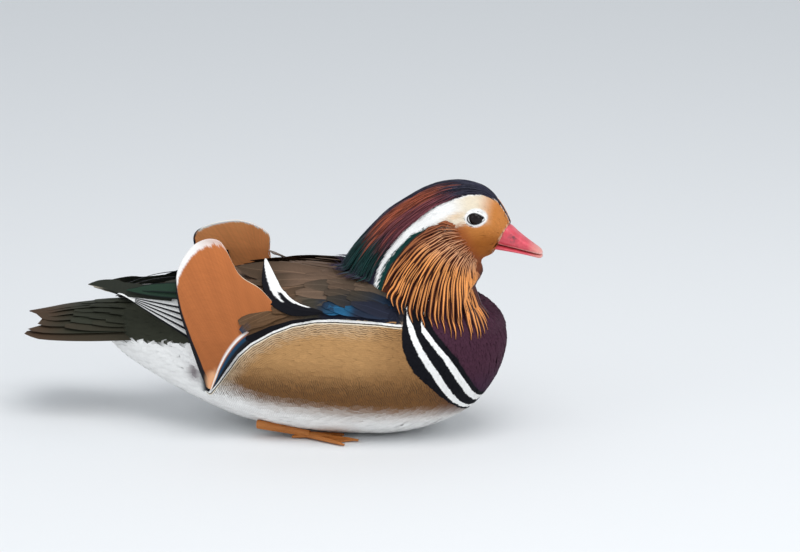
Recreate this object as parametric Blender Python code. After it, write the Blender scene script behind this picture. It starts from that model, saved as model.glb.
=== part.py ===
"""Mandarin duck, drake, life size, resting on its belly with its feet tucked under.

The bird faces +X, its left side is +Y and the floor is at Z = 0. Tables and names are in
millimetres, and MM turns them into metres where a mesh is made.
"""

import math
import random

import bmesh
import bpy
from mathutils import Matrix, Vector
from mathutils.bvhtree import BVHTree

MM = 0.001

# Driving sizes
GAP = 0.32
TAIL_TIP_X = -191.0
EYE_X = 146.0
EYE_Z = 163.6
EYE_RADIUS = 5.6
SIDES = {"right": -1.0, "left": 1.0}
NOSTRIL = (171.0, 6.9, 146.4)

# Sections across the body, tail to breast: x, top, bottom, height of the widest level, half width
TORSO = [
    (-136, 77, 62, 69, 8),
    (-118, 83, 46, 64, 21),
    (-90, 92, 31, 60, 37),
    (-60, 101, 18, 57, 51),
    (-30, 108, 7, 55, 62),
    (0, 112, 1, 54, 69),
    (30, 114, -1.6, 54, 72),
    (60, 114, -1.6, 56, 71),
    (90, 112, 0, 59, 67),
    (118, 108, 8, 63, 59),
    (140, 101, 20, 67, 47),
    (154, 93, 36, 70, 32),
    (161.5, 84, 52, 70, 18),
    (165, 74, 66, 70, 4),
]
# Sections across the head and neck, bill to breast. Each lies in a plane through two points, x and z of
# its back and x and z of its front, and has a half width
BELL = [
    (168.5, 155.5, 166.5, 141.5, 7.2),
    (164, 164.5, 163, 138, 10.5),
    (157, 174, 159.5, 135, 15),
    (147, 180.4, 154.5, 132.5, 19.5),
    (134, 182.2, 149.5, 130.5, 22),
    (120.4, 179.4, 147, 128.3, 23.5),
    (107.2, 173.4, 146, 126, 25),
    (94.8, 164.6, 146, 123, 26.5),
    (82.3, 155.2, 147, 119, 28.5),
    (70.6, 142.8, 149.5, 114, 31),
    (60.2, 130.2, 153, 108, 34.5),
    (52.6, 118, 157.5, 99.5, 39.5),
    (49, 105, 161.5, 90, 45),
    (56, 93, 162, 79, 46),
]
# Rows of that table: where the head ends and the neck begins, and the last one
NAPE_ROW = 5.5
LAST_ROW = 13
# Sections across the bill, base to tip: x, top, mouth line, underside, half width
BILL = [
    (156, 156, 141.1, 137.0, 8.6),
    (166, 155.2, 139.1, 136.0, 8.5),
    (173, 149.8, 137.7, 134.9, 7.6),
    (179, 145.2, 136.5, 133.9, 6.9),
    (185, 140.9, 135.3, 132.7, 6.4),
    (189.2, 137.9, 134.5, 131.7, 5.3),
    (191.0, 135.7, 134.1, 132.0, 3.1),
]
# The plane where the face feathers end against the bill: a point and its normal
BILL_LINE = ((163.0, 0, 147.0), (0.867, 0, -0.497))
# The sails, an enlarged inner flight feather on each side, root to tip: x and z on the shaft,
# x and z on the free edge. The left one is turned further back
SAILS = {
    "right": [
        (16, 93, 14, 96),
        (8, 91, -3, 111),
        (0, 88, -20, 120.5),
        (-9, 83, -36.5, 142),
        (-18, 75.5, -54.5, 138.5),
        (-25, 66, -65.5, 119),
        (-30, 56, -62, 97),
        (-34, 46, -51, 71),
        (-37, 38.5, -39.5, 41),
    ],
    "left": [
        (16, 93, 12, 95),
        (6, 91, -12, 99),
        (-4, 88, -22.5, 110),
        (-12, 83, -21.5, 128),
        (-20, 76, -42, 138),
        (-29, 67, -70, 131),
        (-36, 56, -79, 117),
        (-40, 46, -67, 82),
        (-43, 38.5, -46, 41),
    ],
}
# Share of the way from the shaft to the free edge; below zero is the narrow web on the flank's side
SAIL_SHARES = (-0.1, 0.0, 0.1, 0.35, 0.68, 1.0)
# How far out from the middle plane the sail stands: z, y
SAIL_LEAN = [(36, 66), (55, 68.5), (75, 66), (95, 58.5), (115, 49), (140, 39)]
SAIL_THICK = 1.0

# Tiers of the crest, lowest first: how many, row of the roots, row of the tips, half the spread in degrees
CREST = [
    (8, 4.5, 12.1, 48),
    (7, 3.6, 10.9, 45),
    (6, 2.8, 9.1, 41),
    (5, 2.1, 6.9, 35),
    (4, 1.4, 4.4, 24),
]
# Height of the lowest tier over the head and neck: row, height. Each further tier lies a layer higher
CREST_HEIGHT = [
    (1, -5.6), (2.1, -4.4), (2.8, -3.1), (3.5, -1.8), (4.3, -0.5), (5.2, 1.1),
    (6.5, 1.5), (8, 2.3), (9, 3.0), (10, 3.8), (11, 4.6), (12, 5.4),
]
# Tiers of the neck hackles on each side, lowest first: how many, row of the roots, how far short of
# the ruff's edge the tips stop, in rows, first and last angle of the roots
HACKLES = [
    (8, 7.6, 0.0, 64, 160),
    (7, 6.7, 1.8, 66, 156),
    (5, 6.2, 3.7, 72, 126),
]
LAYER = 1.3
VANE_THICK = 0.65
# How high the wing and its feathers stand over the body, where other feathers rest on them
WING_COVER = 7.9
# Rows at which the feathers of every tier bend, so that they stay apart
STATION_ROWS = (3.4, 4.9, 6.3, 7.8, 9.4, 11.0, 12.4)
# Angles of the hackles' tips round the neck, in degrees, and the row that the edge of the ruff reaches
RUFF_EDGE = [(60, 12.0), (80, 12.6), (100, 13.2), (120, 13.8), (140, 13.7), (155, 13.1), (166, 12.2)]
# Tiers of the shoulder feathers, hindmost first: how many, x of the roots, x of the tips, first and
# last share of the way from the back to the flank line
SCAPULARS = [
    (3, 4, -56, 0.16, 0.42),
    (3, 30, -24, 0.27, 0.52),
    (3, 54, 14, 0.20, 0.70),
    (3, 72, 34, 0.34, 0.80),
]
SCAPULAR_LIFTS = (0.6, 2.9)
# The long inner feathers of the folded wing: x of the root and of the tip, first and last share,
# share of the wing that each may fill, how far root and tip stand over the wing
TERTIALS = [
    (-30, -106, 0.10, 0.06, 0.2, -0.6, 1.4),
    (-32, -99, 0.30, 0.24, 0.2, -0.6, 1.4),
    (-34, -90, 0.50, 0.42, 0.2, -0.6, 1.4),
    (12, -29, 0.12, 0.10, 0.16, 0.6, 7.0),
]
# The tall white feather before each sail: x, distance from the middle plane, z
CRESCENTS = {
    "right": [(40, 63, 92), (22, 58.5, 99), (9, 50, 106), (1, 41, 114), (-3, 33.5, 121), (-5.5, 28, 127.5)],
    "left": [(40, 63, 92), (22, 58.5, 98), (9, 50, 104), (-1, 41.5, 109.5), (-8, 35, 114.5), (-13, 30, 118.5)],
}
CRESCENT_WIDTHS = [4.2, 6.0, 6.2, 5.4, 3.8, 1.4]
PRIMARIES = 6
TAIL_FEATHERS = 6
SEED = 11

# The line where the flank feathers lap over the wing: x, z
FLANK_LINE = [(-80, 84), (-66, 68), (-44, 50), (-32, 58), (-18, 70), (0, 82), (24, 93), (50, 98), (75, 97), (100, 92)]


def table_at(rows, t):
    """A row between the rows of a table, on a smooth curve through them; t counts rows."""
    last = len(rows) - 1
    t = min(max(t, 0.0), float(last))
    i = min(int(t), last - 1)
    f = t - i
    before, start, end, after = (
        rows[max(i - 1, 0)],
        rows[i],
        rows[i + 1],
        rows[min(i + 2, last)],
    )
    out = []
    for a, b, c, d in zip(before, start, end, after):
        m0, m1 = (c - a) / 2, (d - b) / 2
        out.append(
            (2 * f**3 - 3 * f**2 + 1) * b
            + (f**3 - 2 * f**2 + f) * m0
            + (3 * f**2 - 2 * f**3) * c
            + (f**3 - f**2) * m1
        )
    return out


def level_at(rows, key):
    """The value beside key in a two-column table, straight between its rows."""
    rows = sorted(rows)
    if key <= rows[0][0]:
        return rows[0][1]
    for (k0, v0), (k1, v1) in zip(rows, rows[1:]):
        if key <= k1:
            return v0 + (v1 - v0) * (key - k0) / (k1 - k0)
    return rows[-1][1]


def smooth_step(x):
    x = min(max(x, 0.0), 1.0)
    return x * x * (3 - 2 * x)


def oval_ring(x, top, bottom, wide, half, count, power=0.88):
    """A closed section across the body at x, from the top round by the right side."""
    ring = []
    for j in range(count):
        a = 2 * math.pi * j / count
        c, s = math.cos(a), math.sin(a)
        reach = top - wide if c > 0 else wide - bottom
        y = -half * math.copysign(abs(s) ** power, s)
        z = wide + reach * math.copysign(abs(c) ** power, c)
        ring.append(Vector((x, y, max(z, 0.0))))
    return ring


def loft(rings):
    """A closed surface through rings that have the same number of points."""
    shape = bmesh.new()
    made = [[shape.verts.new(p) for p in ring] for ring in rings]
    for low, high in zip(made, made[1:]):
        for j in range(len(low)):
            k = (j + 1) % len(low)
            shape.faces.new((low[j], low[k], high[k], high[j]))
    shape.faces.new(made[0][::-1])
    shape.faces.new(made[-1])
    bmesh.ops.triangulate(shape, faces=[f for f in shape.faces if len(f.verts) > 4])
    bmesh.ops.recalc_face_normals(shape, faces=shape.faces)
    return shape


def object_of(name, shape, colour=None, roughness=0.6):
    """Makes the object of a shape that is in millimetres, with a plain material."""
    bmesh.ops.scale(shape, vec=(MM, MM, MM), verts=shape.verts)
    mesh = bpy.data.meshes.new(name)
    shape.to_mesh(mesh)
    shape.free()
    obj = bpy.data.objects.new(name, mesh)
    bpy.context.scene.collection.objects.link(obj)
    if colour:
        material = bpy.data.materials.new(name)
        material.use_nodes = True
        shader = material.node_tree.nodes["Principled BSDF"]
        shader.inputs["Base Color"].default_value = (*colour, 1)
        shader.inputs["Roughness"].default_value = roughness
        mesh.materials.append(material)
    return obj


def apply_modifiers(obj):
    graph = bpy.context.evaluated_depsgraph_get()
    mesh = bpy.data.meshes.new_from_object(obj.evaluated_get(graph))
    obj.modifiers.clear()
    obj.data = mesh


def keep_largest(obj):
    """Splits obj into triangles and drops every closed surface but the one with the most of them."""
    shape = bmesh.new()
    shape.from_mesh(obj.data)
    bmesh.ops.triangulate(shape, faces=shape.faces)
    left = set(shape.faces)
    groups = []
    while left:
        group, front = [], [left.pop()]
        while front:
            face = front.pop()
            group.append(face)
            for edge in face.edges:
                if len(edge.link_faces) != 2:
                    continue
                for other in edge.link_faces:
                    if other in left:
                        left.remove(other)
                        front.append(other)
        groups.append(group)
    groups.sort(key=len)
    drop = [face for group in groups[:-1] for face in group]
    bmesh.ops.delete(shape, geom=drop, context="FACES")
    shape.to_mesh(obj.data)
    shape.free()


def fuse(obj, pieces):
    """Joins closed pieces to obj, all in one Boolean."""
    if not pieces:
        return
    group = bpy.data.collections.new("pieces")
    bpy.context.scene.collection.children.link(group)
    for piece in pieces:
        bpy.context.scene.collection.objects.unlink(piece)
        group.objects.link(piece)
    join = obj.modifiers.new("join", "BOOLEAN")
    join.operation = "UNION"
    join.solver = "MANIFOLD"
    join.operand_type = "COLLECTION"
    join.collection = group
    bpy.context.view_layer.update()
    apply_modifiers(obj)
    for piece in pieces:
        bpy.data.objects.remove(piece)
    bpy.data.collections.remove(group)
    keep_largest(obj)


def swollen(obj, by):
    """A copy of obj grown by a distance in millimetres along its normals."""
    shape = bmesh.new()
    shape.from_mesh(obj.data)
    shape.normal_update()
    moves = [v.normal * by * MM for v in shape.verts]
    for v, move in zip(shape.verts, moves):
        v.co += move
    bmesh.ops.scale(shape, vec=(1 / MM, 1 / MM, 1 / MM), verts=shape.verts)
    return object_of(obj.name + "_swollen", shape)


def cut_out(obj, cutter):
    """Takes a closed shape out of obj and removes it."""
    cut = obj.modifiers.new("cut", "BOOLEAN")
    cut.operation = "DIFFERENCE"
    cut.solver = "MANIFOLD"
    cut.object = cutter
    bpy.context.view_layer.update()
    apply_modifiers(obj)
    bpy.data.objects.remove(cutter)


def clear_of(obj, *others, by=GAP):
    """Cuts obj back from other objects, so that it meets them face to face across a thin gap."""
    for other in others:
        cut_out(obj, swollen(other, by))
    keep_largest(obj)


def slice_off(shape, point, normal):
    """Cuts away what lies beyond a plane, on the side its normal points to, and closes the cut."""
    geometry = shape.verts[:] + shape.edges[:] + shape.faces[:]
    cut = bmesh.ops.bisect_plane(
        shape, geom=geometry, plane_co=point, plane_no=normal, clear_outer=True
    )
    edges = [g for g in cut["geom_cut"] if isinstance(g, bmesh.types.BMEdge)]
    filled = bmesh.ops.contextual_create(shape, geom=edges)
    bmesh.ops.triangulate(shape, faces=filled["faces"])
    bmesh.ops.recalc_face_normals(shape, faces=shape.faces)
    return shape


def rows_of(table, per_gap):
    count = (len(table) - 1) * per_gap
    return [table_at(table, i / per_gap) for i in range(count + 1)]


def torso_shape():
    return loft([oval_ring(*row, 26) for row in rows_of(TORSO, 2)])


def bell_point(row, angle, side=1, lift=0.0):
    """A point on the head or neck: angle goes round from the back, 0, to the throat, half a turn."""
    back_x, back_z, front_x, front_z, half = table_at(BELL, row)
    c, s = math.cos(angle), math.sin(angle)
    middle = Vector(((back_x + front_x) / 2, 0, (back_z + front_z) / 2))
    reach = Vector(((front_x - back_x) / 2, 0, (front_z - back_z) / 2))
    point = middle - reach * math.copysign(abs(c) ** 0.94, c)
    point.y = side * half * math.copysign(abs(s) ** 0.94, s)
    if lift:
        point += bell_normal(row, angle, side) * lift
    return point


def bell_normal(row, angle, side=1):
    step = 0.02
    low, high = max(row - step, 0), min(row + step, LAST_ROW)
    down = bell_point(high, angle, side) - bell_point(low, angle, side)
    round_it = bell_point(row, angle + step, side) - bell_point(row, angle - step, side)
    normal = down.cross(round_it).normalized()
    outwards = bell_point(row, angle, side) - bell_point(row, angle + math.pi, side)
    return normal if normal.dot(outwards) > 0 else -normal


def bell_rings(first, last, steps, count=28):
    rings = []
    for i in range(steps + 1):
        row = first + (last - first) * i / steps
        rings.append([bell_point(row, 2 * math.pi * j / count) for j in range(count)])
    return rings


def head_shape():
    rings = bell_rings(0, NAPE_ROW, 11)
    back_x, back_z, front_x, front_z, _ = table_at(BELL, NAPE_ROW)
    ahead = Vector((back_z - front_z, 0, front_x - back_x)).normalized()
    rings[-1] = [p + ahead * GAP for p in rings[-1]]
    shape = loft(rings)
    return slice_off(shape, BILL_LINE[0], BILL_LINE[1])


def neck_shape():
    return loft(bell_rings(NAPE_ROW, LAST_ROW, 11, 28))


def tip_taper(f, blunt, broad=0.5):
    """Width of a feather, from 0 at its root to 1 at its tip, as a share of its widest."""
    if f < broad:
        return 1.0
    return blunt + (1 - blunt) * math.cos(math.pi / 2 * (f - broad) / (1 - broad))


def vane(path, normals, widths, thick=VANE_THICK, ribbed=False):
    """One feather as a closed thin blade along a line of points, with a half width at each."""
    last = len(path) - 1
    grid = []
    for i, (point, normal, width) in enumerate(zip(path, normals, widths)):
        ahead = path[min(i + 1, last)] - path[max(i - 1, 0)]
        across = normal.cross(ahead).normalized() * width
        line = [point - across, point + across]
        if ribbed:
            line.insert(1, point + normal * 0.12 * width)
        grid.append(line)
    return object_of("vane", sheet(grid, thick))


def rest_on(point, normal, body, clear):
    """Lifts a point out of the body, and of the wing over it, and turns its normal to that surface."""
    near, facing, _, _ = body.find_nearest(point * MM)
    near = near / MM
    over_wing = smooth_step((abs(point.y) - 6) / 6) * smooth_step((97 - point.x) / 14)
    over_wing *= smooth_step((near.z - level_at(FLANK_LINE, point.x) + 4) / 6)
    clear += WING_COVER * over_wing
    if (point - near).dot(facing) < clear:
        point = near + facing * clear
        normal = (normal * 0.4 + facing).normalized()
    return point, normal


def bell_vane(ends, angles, steps, height, body, clear, tip):
    """A feather that lies along the head or neck.

    ends and angles are its first and last row and angle, steps the angles that it may fill there,
    and height gives how far it stands over the surface at a row.
    """
    rows = [ends[0], ends[0] + 0.7]
    rows += [row for row in STATION_ROWS if rows[1] + 0.3 < row < ends[1] - 0.3] + [ends[1]]
    path, normals, widths = [], [], []
    for i, row in enumerate(rows):
        f = (row - ends[0]) / (ends[1] - ends[0])
        angle = angles[0] + (angles[1] - angles[0]) * f
        side = -1 if angle < 0 else 1
        inside = min(row, LAST_ROW)
        point = bell_point(inside, abs(angle), side)
        aside = bell_point(inside, abs(angle) + 0.05, side) - bell_point(inside, abs(angle) - 0.05, side)
        normal = bell_normal(inside, abs(angle), side)
        point += Vector((0.1, side * 0.25, -0.96)) * 11.5 * (row - inside)
        point += normal * (height(row) - (1.8 if i == 0 else 0))
        if f > 0.35:
            point, normal = rest_on(point, normal, body, clear)
        path.append(point)
        normals.append(normal)
        place = (steps[0] + (steps[1] - steps[0]) * f) * aside.length / 0.1
        widths.append((place / 2 - 0.2) * tip_taper(f, *tip))
    return vane(path, normals, widths)


def crest(body, draw):
    """The crest, feather by feather, from the forehead back over the nape."""
    feathers = []
    for tier, (count, root, tip, spread) in enumerate(CREST):
        step = math.radians(2 * spread / (count - 1))
        for k in range(count):
            share = 2 * k / (count - 1) - 1
            angle = math.radians(spread) * share
            end = tip - 0.8 * share * share + draw.uniform(-0.2, 0.2)
            start = root - 0.35 * share * share

            def height(row, tier=tier):
                return level_at(CREST_HEIGHT, row) + LAYER * tier

            angles, steps = (angle * 0.86, angle), (step * 0.86, step)
            feathers.append(
                bell_vane((start, end), angles, steps, height, body, 0.9, (0.4, 0.7))
            )
    return feathers


def hackles(side, body, draw):
    """The long pointed neck feathers that fan out from the cheek into a ruff."""
    feathers = []
    for tier, (count, root, short, first, last) in enumerate(HACKLES):
        steps = (math.radians((last - first) / (count - 1)), math.radians(106 / (count - 1)))
        for k in range(count):
            share = k / (count - 1)
            start = first + (last - first) * share
            end = 60 + 106 * share
            tip = level_at(RUFF_EDGE, end) - short + draw.uniform(-0.15, 0.15)
            angles = (math.radians(start) * side, math.radians(end) * side)

            def height(row, tier=tier, root=root):
                return 0.8 + LAYER * tier * min(1, (row - root) / 1.5)

            clear = 0.85 + LAYER * tier
            feathers.append(
                bell_vane((root, tip), angles, steps, height, body, clear, (0.2, 0.5))
            )
    return feathers


def bill_ring(x, high, low, half, count=12):
    """A section across one half of the bill: flat at the mouth line and round outside."""
    ring = []
    for j in range(count):
        a = 2 * math.pi * j / count
        c, s = math.cos(a), math.sin(a)
        share = 0.5 + 0.5 * math.copysign(abs(c) ** 0.75, c)
        ring.append(Vector((x, -half * math.copysign(abs(s) ** 0.7, s), low + (high - low) * share)))
    return ring


def bill_shapes():
    """The upper and the lower half of the bill, parted along the mouth."""
    upper, lower = [], []
    for x, top, mouth, under, half in BILL:
        upper.append(bill_ring(x, top, mouth + GAP / 2, half))
        lower.append(bill_ring(x, mouth - GAP / 2, under, half * 0.86))
    point, normal = Vector(BILL_LINE[0]), Vector(BILL_LINE[1])
    halves = []
    for rings in (upper, lower):
        shape = loft(rings)
        halves.append(slice_off(shape, point + normal * GAP, -normal))
    return halves


def head_surface_y(bvh, x, z):
    """How far out the head's side lies at x and z, in millimetres."""
    hit = bvh.ray_cast(Vector((x, -200, z)) * MM, Vector((0, 1, 0)))
    return abs(hit[0].y) / MM


def eye_shape(y):
    shape = bmesh.new()
    bmesh.ops.create_uvsphere(shape, u_segments=12, v_segments=7, radius=EYE_RADIUS)
    bmesh.ops.rotate(shape, verts=shape.verts, matrix=Matrix.Rotation(math.pi / 2, 3, "X"))
    bmesh.ops.translate(shape, verts=shape.verts, vec=(EYE_X, y, EYE_Z))
    return shape


def lid_shape(y, side):
    """A low raised ring of skin round the eye."""
    rings = []
    for i in range(14):
        a = 2 * math.pi * i / 14
        out = Vector((math.cos(a) * 1.08, 0, math.sin(a) * 0.92))
        centre = Vector((EYE_X, y, EYE_Z)) + out * (EYE_RADIUS * 0.98)
        ring = []
        for j in range(4):
            b = 2 * math.pi * j / 4
            ring.append(centre + out * math.cos(b) * 0.95 + Vector((0, side * math.sin(b) * 1.1, 0)))
        rings.append(ring)
    shape = bmesh.new()
    made = [[shape.verts.new(p) for p in ring] for ring in rings]
    for i, low in enumerate(made):
        high = made[(i + 1) % len(made)]
        for j in range(4):
            shape.faces.new((low[j], low[(j + 1) % 4], high[(j + 1) % 4], high[j]))
    bmesh.ops.recalc_face_normals(shape, faces=shape.faces)
    return shape


def sheet(points, thick):
    """A closed thin sheet over a grid of points, split into triangles alike on both faces."""
    rows, columns = len(points), len(points[0])
    shape = bmesh.new()
    faces = []
    for i in range(rows):
        for j in range(columns):
            along = points[min(i + 1, rows - 1)][j] - points[max(i - 1, 0)][j]
            across = points[i][min(j + 1, columns - 1)] - points[i][max(j - 1, 0)]
            faces.append((points[i][j], along.cross(across).normalized() * thick / 2))
    top = [shape.verts.new(p + n) for p, n in faces]
    low = [shape.verts.new(p - n) for p, n in faces]
    for i in range(rows - 1):
        for j in range(columns - 1):
            a, b = i * columns + j, i * columns + j + 1
            c, d = a + columns, b + columns
            for skin, turn in ((top, 1), (low, -1)):
                shape.faces.new([skin[k] for k in (a, c, d)][::turn])
                shape.faces.new([skin[k] for k in (a, d, b)][::turn])
    rim = [j for j in range(columns)]
    rim += [i * columns + columns - 1 for i in range(1, rows)]
    rim += [(rows - 1) * columns + j for j in range(columns - 2, -1, -1)]
    rim += [i * columns for i in range(rows - 2, 0, -1)]
    for a, b in zip(rim, rim[1:] + rim[:1]):
        shape.faces.new((top[a], top[b], low[b]))
        shape.faces.new((top[a], low[b], low[a]))
    bmesh.ops.recalc_face_normals(shape, faces=shape.faces)
    return shape


def sail_shape(name, side):
    """The sail: barbs run from the shaft, low on the flank, up to the free edge."""
    grid = []
    steps = 17
    for i in range(steps + 1):
        row = 0.55 + 7.25 * i / steps
        shaft_x, shaft_z, edge_x, edge_z = table_at(SAILS[name], row)
        line = []
        for share in SAIL_SHARES:
            x = shaft_x + (edge_x - shaft_x) * share
            z = shaft_z + (edge_z - shaft_z) * share
            y = level_at(SAIL_LEAN, z) + 1.8 * math.sin(math.pi * max(share, 0)) + 2.0 * share * share
            if share == 0:
                y += 0.8
            line.append(Vector((x, side * y, z)))
        grid.append(line)
    return sheet(grid, SAIL_THICK)


def torso_angle(row, z):
    """The angle round a body section, from its top, at which its side is at height z."""
    x, top, bottom, wide, half = row
    share = min(max((z - wide) / (top - wide), -0.98), 1.0)
    return math.acos(math.copysign(abs(share) ** (1 / 0.88), share))


def torso_point(row, angle, side, lift):
    x, top, bottom, wide, half = row
    c, s = math.cos(angle), math.sin(angle)
    reach = top - wide if c > 0 else wide - bottom
    y = half * abs(s) ** 0.88
    z = wide + reach * math.copysign(abs(c) ** 0.88, c)
    out = Vector((0, y / (half * half), (z - wide) / (reach * reach))).normalized()
    return Vector((x, side * (y + out.y * lift), z + out.z * lift))


def torso_row(x):
    """The body section at x."""
    low, high = 0.0, float(len(TORSO) - 1)
    for _ in range(40):
        middle = (low + high) / 2
        if table_at(TORSO, middle)[0] < x:
            low = middle
        else:
            high = middle
    return table_at(TORSO, low)


def wing_swell(x, share):
    """How far the wing stands over the body, at x and a share of the way from back to flank."""
    ends = math.sin(math.pi * min(max((x + 78) / 176, 0.03), 0.97)) ** 0.5
    return 0.9 + 4.0 * math.sin(math.pi * min(max(share, 0.06), 0.94)) ** 0.5 * ends


def wing_point(x, share, side, lift):
    """A point over the folded wing: share goes from the back, 0, to the flank line, 1."""
    row = torso_row(x)
    start = 0.16 if x < 40 else 0.16 + 0.30 * (x - 40) / 58
    end = torso_angle(row, level_at(FLANK_LINE, x) - 3)
    return torso_point(row, start + (end - start) * share, side, lift)


def wing_shape(side):
    """The folded wing: a low shell on the upper side of the body, down to the flank line."""
    rings = []
    columns = 8
    for i in range(15):
        x = -78 + 176 * i / 14
        shares = [j / (columns - 1) for j in range(columns)]
        outer = [wing_point(x, share, side, wing_swell(x, share)) for share in shares]
        inner = [wing_point(x, share, side, -3.0) for share in shares]
        rings.append(outer + inner[::-1])
    return loft(rings)


def wing_vane(ends, shares, step, heights, side, stations=5, ribbed=False, blunt=0.35):
    """A feather that lies back along the wing; step is the share of the wing that it may fill."""
    path, normals, widths = [], [], []
    for i in range(stations):
        f = i / (stations - 1)
        x = ends[0] + (ends[1] - ends[0]) * f
        share = shares[0] + (shares[1] - shares[0]) * f
        over = wing_swell(max(x, -60), share)
        lift = over + heights[0] + (heights[1] - heights[0]) * f - (1.8 if i == 0 else 0)
        point = wing_point(x, share, side, lift)
        aside = wing_point(x, share + 0.03, side, lift) - wing_point(x, share - 0.03, side, lift)
        normals.append((wing_point(x, share, side, lift + 1) - point).normalized())
        path.append(point)
        place = step * aside.length / 0.06
        widths.append((place / 2 - 0.2) * tip_taper(f, blunt, 0.6))
    return vane(path, normals, widths, ribbed=ribbed)


def shoulder_feathers(side, draw):
    feathers = []
    for count, root, tip, first, last in SCAPULARS:
        step = (last - first) / (count - 1)
        for k in range(count):
            share = first + step * k
            ends = (root - 3 * (k % 2), tip + draw.uniform(-3, 3))
            feathers.append(wing_vane(ends, (share, share), step, SCAPULAR_LIFTS, side))
    for root, tip, start, end, step, low, high in TERTIALS:
        feathers.append(wing_vane((root, tip), (start, end), step, (low, high), side, 6, False, 0.25))
    return feathers


def primaries(side):
    """The long flight feathers, stacked edge over edge, over the rump to the other side."""
    over = 0.0 if side < 0 else 7.0
    feathers = []
    for k in range(PRIMARIES):
        share = k / (PRIMARIES - 1)
        path, normals, widths = [], [], []
        for i in range(5):
            f = i / 4
            reach = 1 - 0.26 * share * f
            x = -44 - 106 * f * reach - 2 * share
            y = 48 - 50 * f * reach + 5 * math.sin(math.pi * f)
            lean = math.radians(62 - 44 * f)
            out = Vector((0, side * math.sin(lean), math.cos(lean)))
            up = Vector((0, -side * math.cos(lean), math.sin(lean)))
            base = Vector((x, side * y, 76 + 14 * f + over * (0.25 + 0.75 * f)))
            pitch = 4.4 * (1 - 0.62 * f)
            path.append(base + up * pitch * k + out * (1.2 * k * (1 - 0.3 * f) - 1.5))
            normals.append(out)
            widths.append(4.6 * tip_taper(f, 0.22, 0.45))
        feathers.append(vane(path, normals, widths, 0.6))
    return feathers


def crescent(name, side):
    path = [Vector((x, side * y, z)) for x, y, z in CRESCENTS[name]]
    facing = Vector((0.55, side * 0.75, 0.35)).normalized()
    return vane(path, [facing] * len(path), CRESCENT_WIDTHS, 0.9, True)


def tail_middle(f):
    """Height of the tail's ridge, from 0 at the rump to 1 at the tips."""
    return 86 - 10 * f - 4 * f * f


def tail_point(f, across, lift=0.0):
    """A point over the tail: f from the rump to the tips, across from -1, right, to 1, left."""
    half = 26 + 6 * math.sin(math.pi * min(f, 1)) - 16 * max(f - 0.8, 0)
    x = -104 + (TAIL_TIP_X + 104) * f
    z = tail_middle(f) - (23 - 17 * min(f, 1)) * abs(across) ** 1.7
    return Vector((x, across * half, z + lift))


def tail_core():
    rings = []
    for i in range(5):
        f = 0.30 * i / 4
        line_top = [tail_point(f, (j / 4 - 1) * 0.9, 0.2) for j in range(9)]
        line_low = [tail_point(f, (j / 4 - 1) * 0.88, -2.2 - 5.8 * (1 - (j / 4 - 1) ** 4)) for j in range(9)]
        rings.append(line_top + line_low[::-1])
    return loft(rings)


def tail_vane(start, end, across, spread, lift, half, stations=5, ribbed=False):
    path, normals, widths = [], [], []
    for i in range(stations):
        f = i / (stations - 1)
        along = start + (end - start) * f
        aside = across * (1 - spread * (1 - f))
        path.append(tail_point(along, aside, lift[0] + (lift[1] - lift[0]) * f))
        turn = math.copysign(abs(aside) ** 0.7, aside) * (0.75 - 0.5 * min(along, 1))
        normals.append(Vector((0, math.sin(turn), math.cos(turn))))
        widths.append(half * tip_taper(f, 0.2, 0.55))
    return vane(path, normals, widths, 0.7, ribbed)


def tail_feathers(draw):
    """Tail feathers, the middle pair on top, and the coverts over their roots."""
    feathers = []
    for side in (-1, 1):
        for k in range(TAIL_FEATHERS):
            across = side * (0.09 + 0.91 * k / (TAIL_FEATHERS - 1))
            end = 1.0 - 0.018 * k - 0.01 * (k % 2)
            under = -0.4 - 1.1 * (k + (side > 0))
            feathers.append(tail_vane(0.10, end, across, 0.2, (under, under + 0.2), 5.0, 6))
    for count, start, end, low, spread in ((5, 0.0, 0.50, 1.0, 0.72), (4, -0.08, 0.32, 2.0, 0.5)):
        for k in range(count):
            across = (2 * k / (count - 1) - 1) * spread
            reach = end + draw.uniform(-0.03, 0.03)
            feathers.append(tail_vane(start, reach, across, 0.1, (low - 1.6, low), 4.9))
    return feathers


def under_tail(draw):
    """The white feathers under the tail, which grow from the belly's end."""
    feathers = []
    for count, root, tip, spread, low in ((5, -74, -112, 1.1, 0.2), (3, -92, -131, 0.6, 0.2)):
        step = 2 * spread / (count - 1)
        for k in range(count):
            turn = math.pi - spread + step * k
            side = 1 if turn < math.pi else -1
            angle = turn if side > 0 else 2 * math.pi - turn
            path, normals, widths = [], [], []
            for i in range(5):
                f = i / 4
                row = torso_row(root + (tip + draw.uniform(-1, 1) - root) * f)
                point = torso_point(row, angle, side, low - 1.5 + 3.0 * min(f * 2.2, 1))
                aside = torso_point(row, angle + 0.05, side, 1) - torso_point(row, angle - 0.05, side, 1)
                path.append(point)
                normals.append((torso_point(row, angle, side, 5) - point).normalized())
                widths.append(max(aside.length / 0.1 * step / 2 - 0.2, 1.5) * tip_taper(f, 0.3, 0.55))
            feathers.append(vane(path, normals, widths))
    return feathers


# Toes of one foot, from above: length, and angle from straight ahead, outwards
TOES = [(27.0, -24), (38.0, 2), (34.0, 26), (11.0, 168)]
FOOT_ROOT = (30.0, 43.0)


def foot_shape(side):
    """A shank that lies along the floor with three webbed toes in front of it and a small hind toe."""
    heel = Vector((-8, side * 46, 9))
    ball = Vector((FOOT_ROOT[0], side * FOOT_ROOT[1], 3.2))
    rings = []
    for i in range(4):
        f = i / 3
        middle = heel.lerp(ball, f)
        wide, high = 3.6 - 0.7 * f, 3.4 - 0.9 * f
        ring = []
        for j in range(8):
            a = 2 * math.pi * j / 8
            ring.append(middle + Vector((0, wide * math.cos(a), high * math.sin(a))))
        rings.append(ring)
    shank = loft(rings)
    return shank


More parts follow.
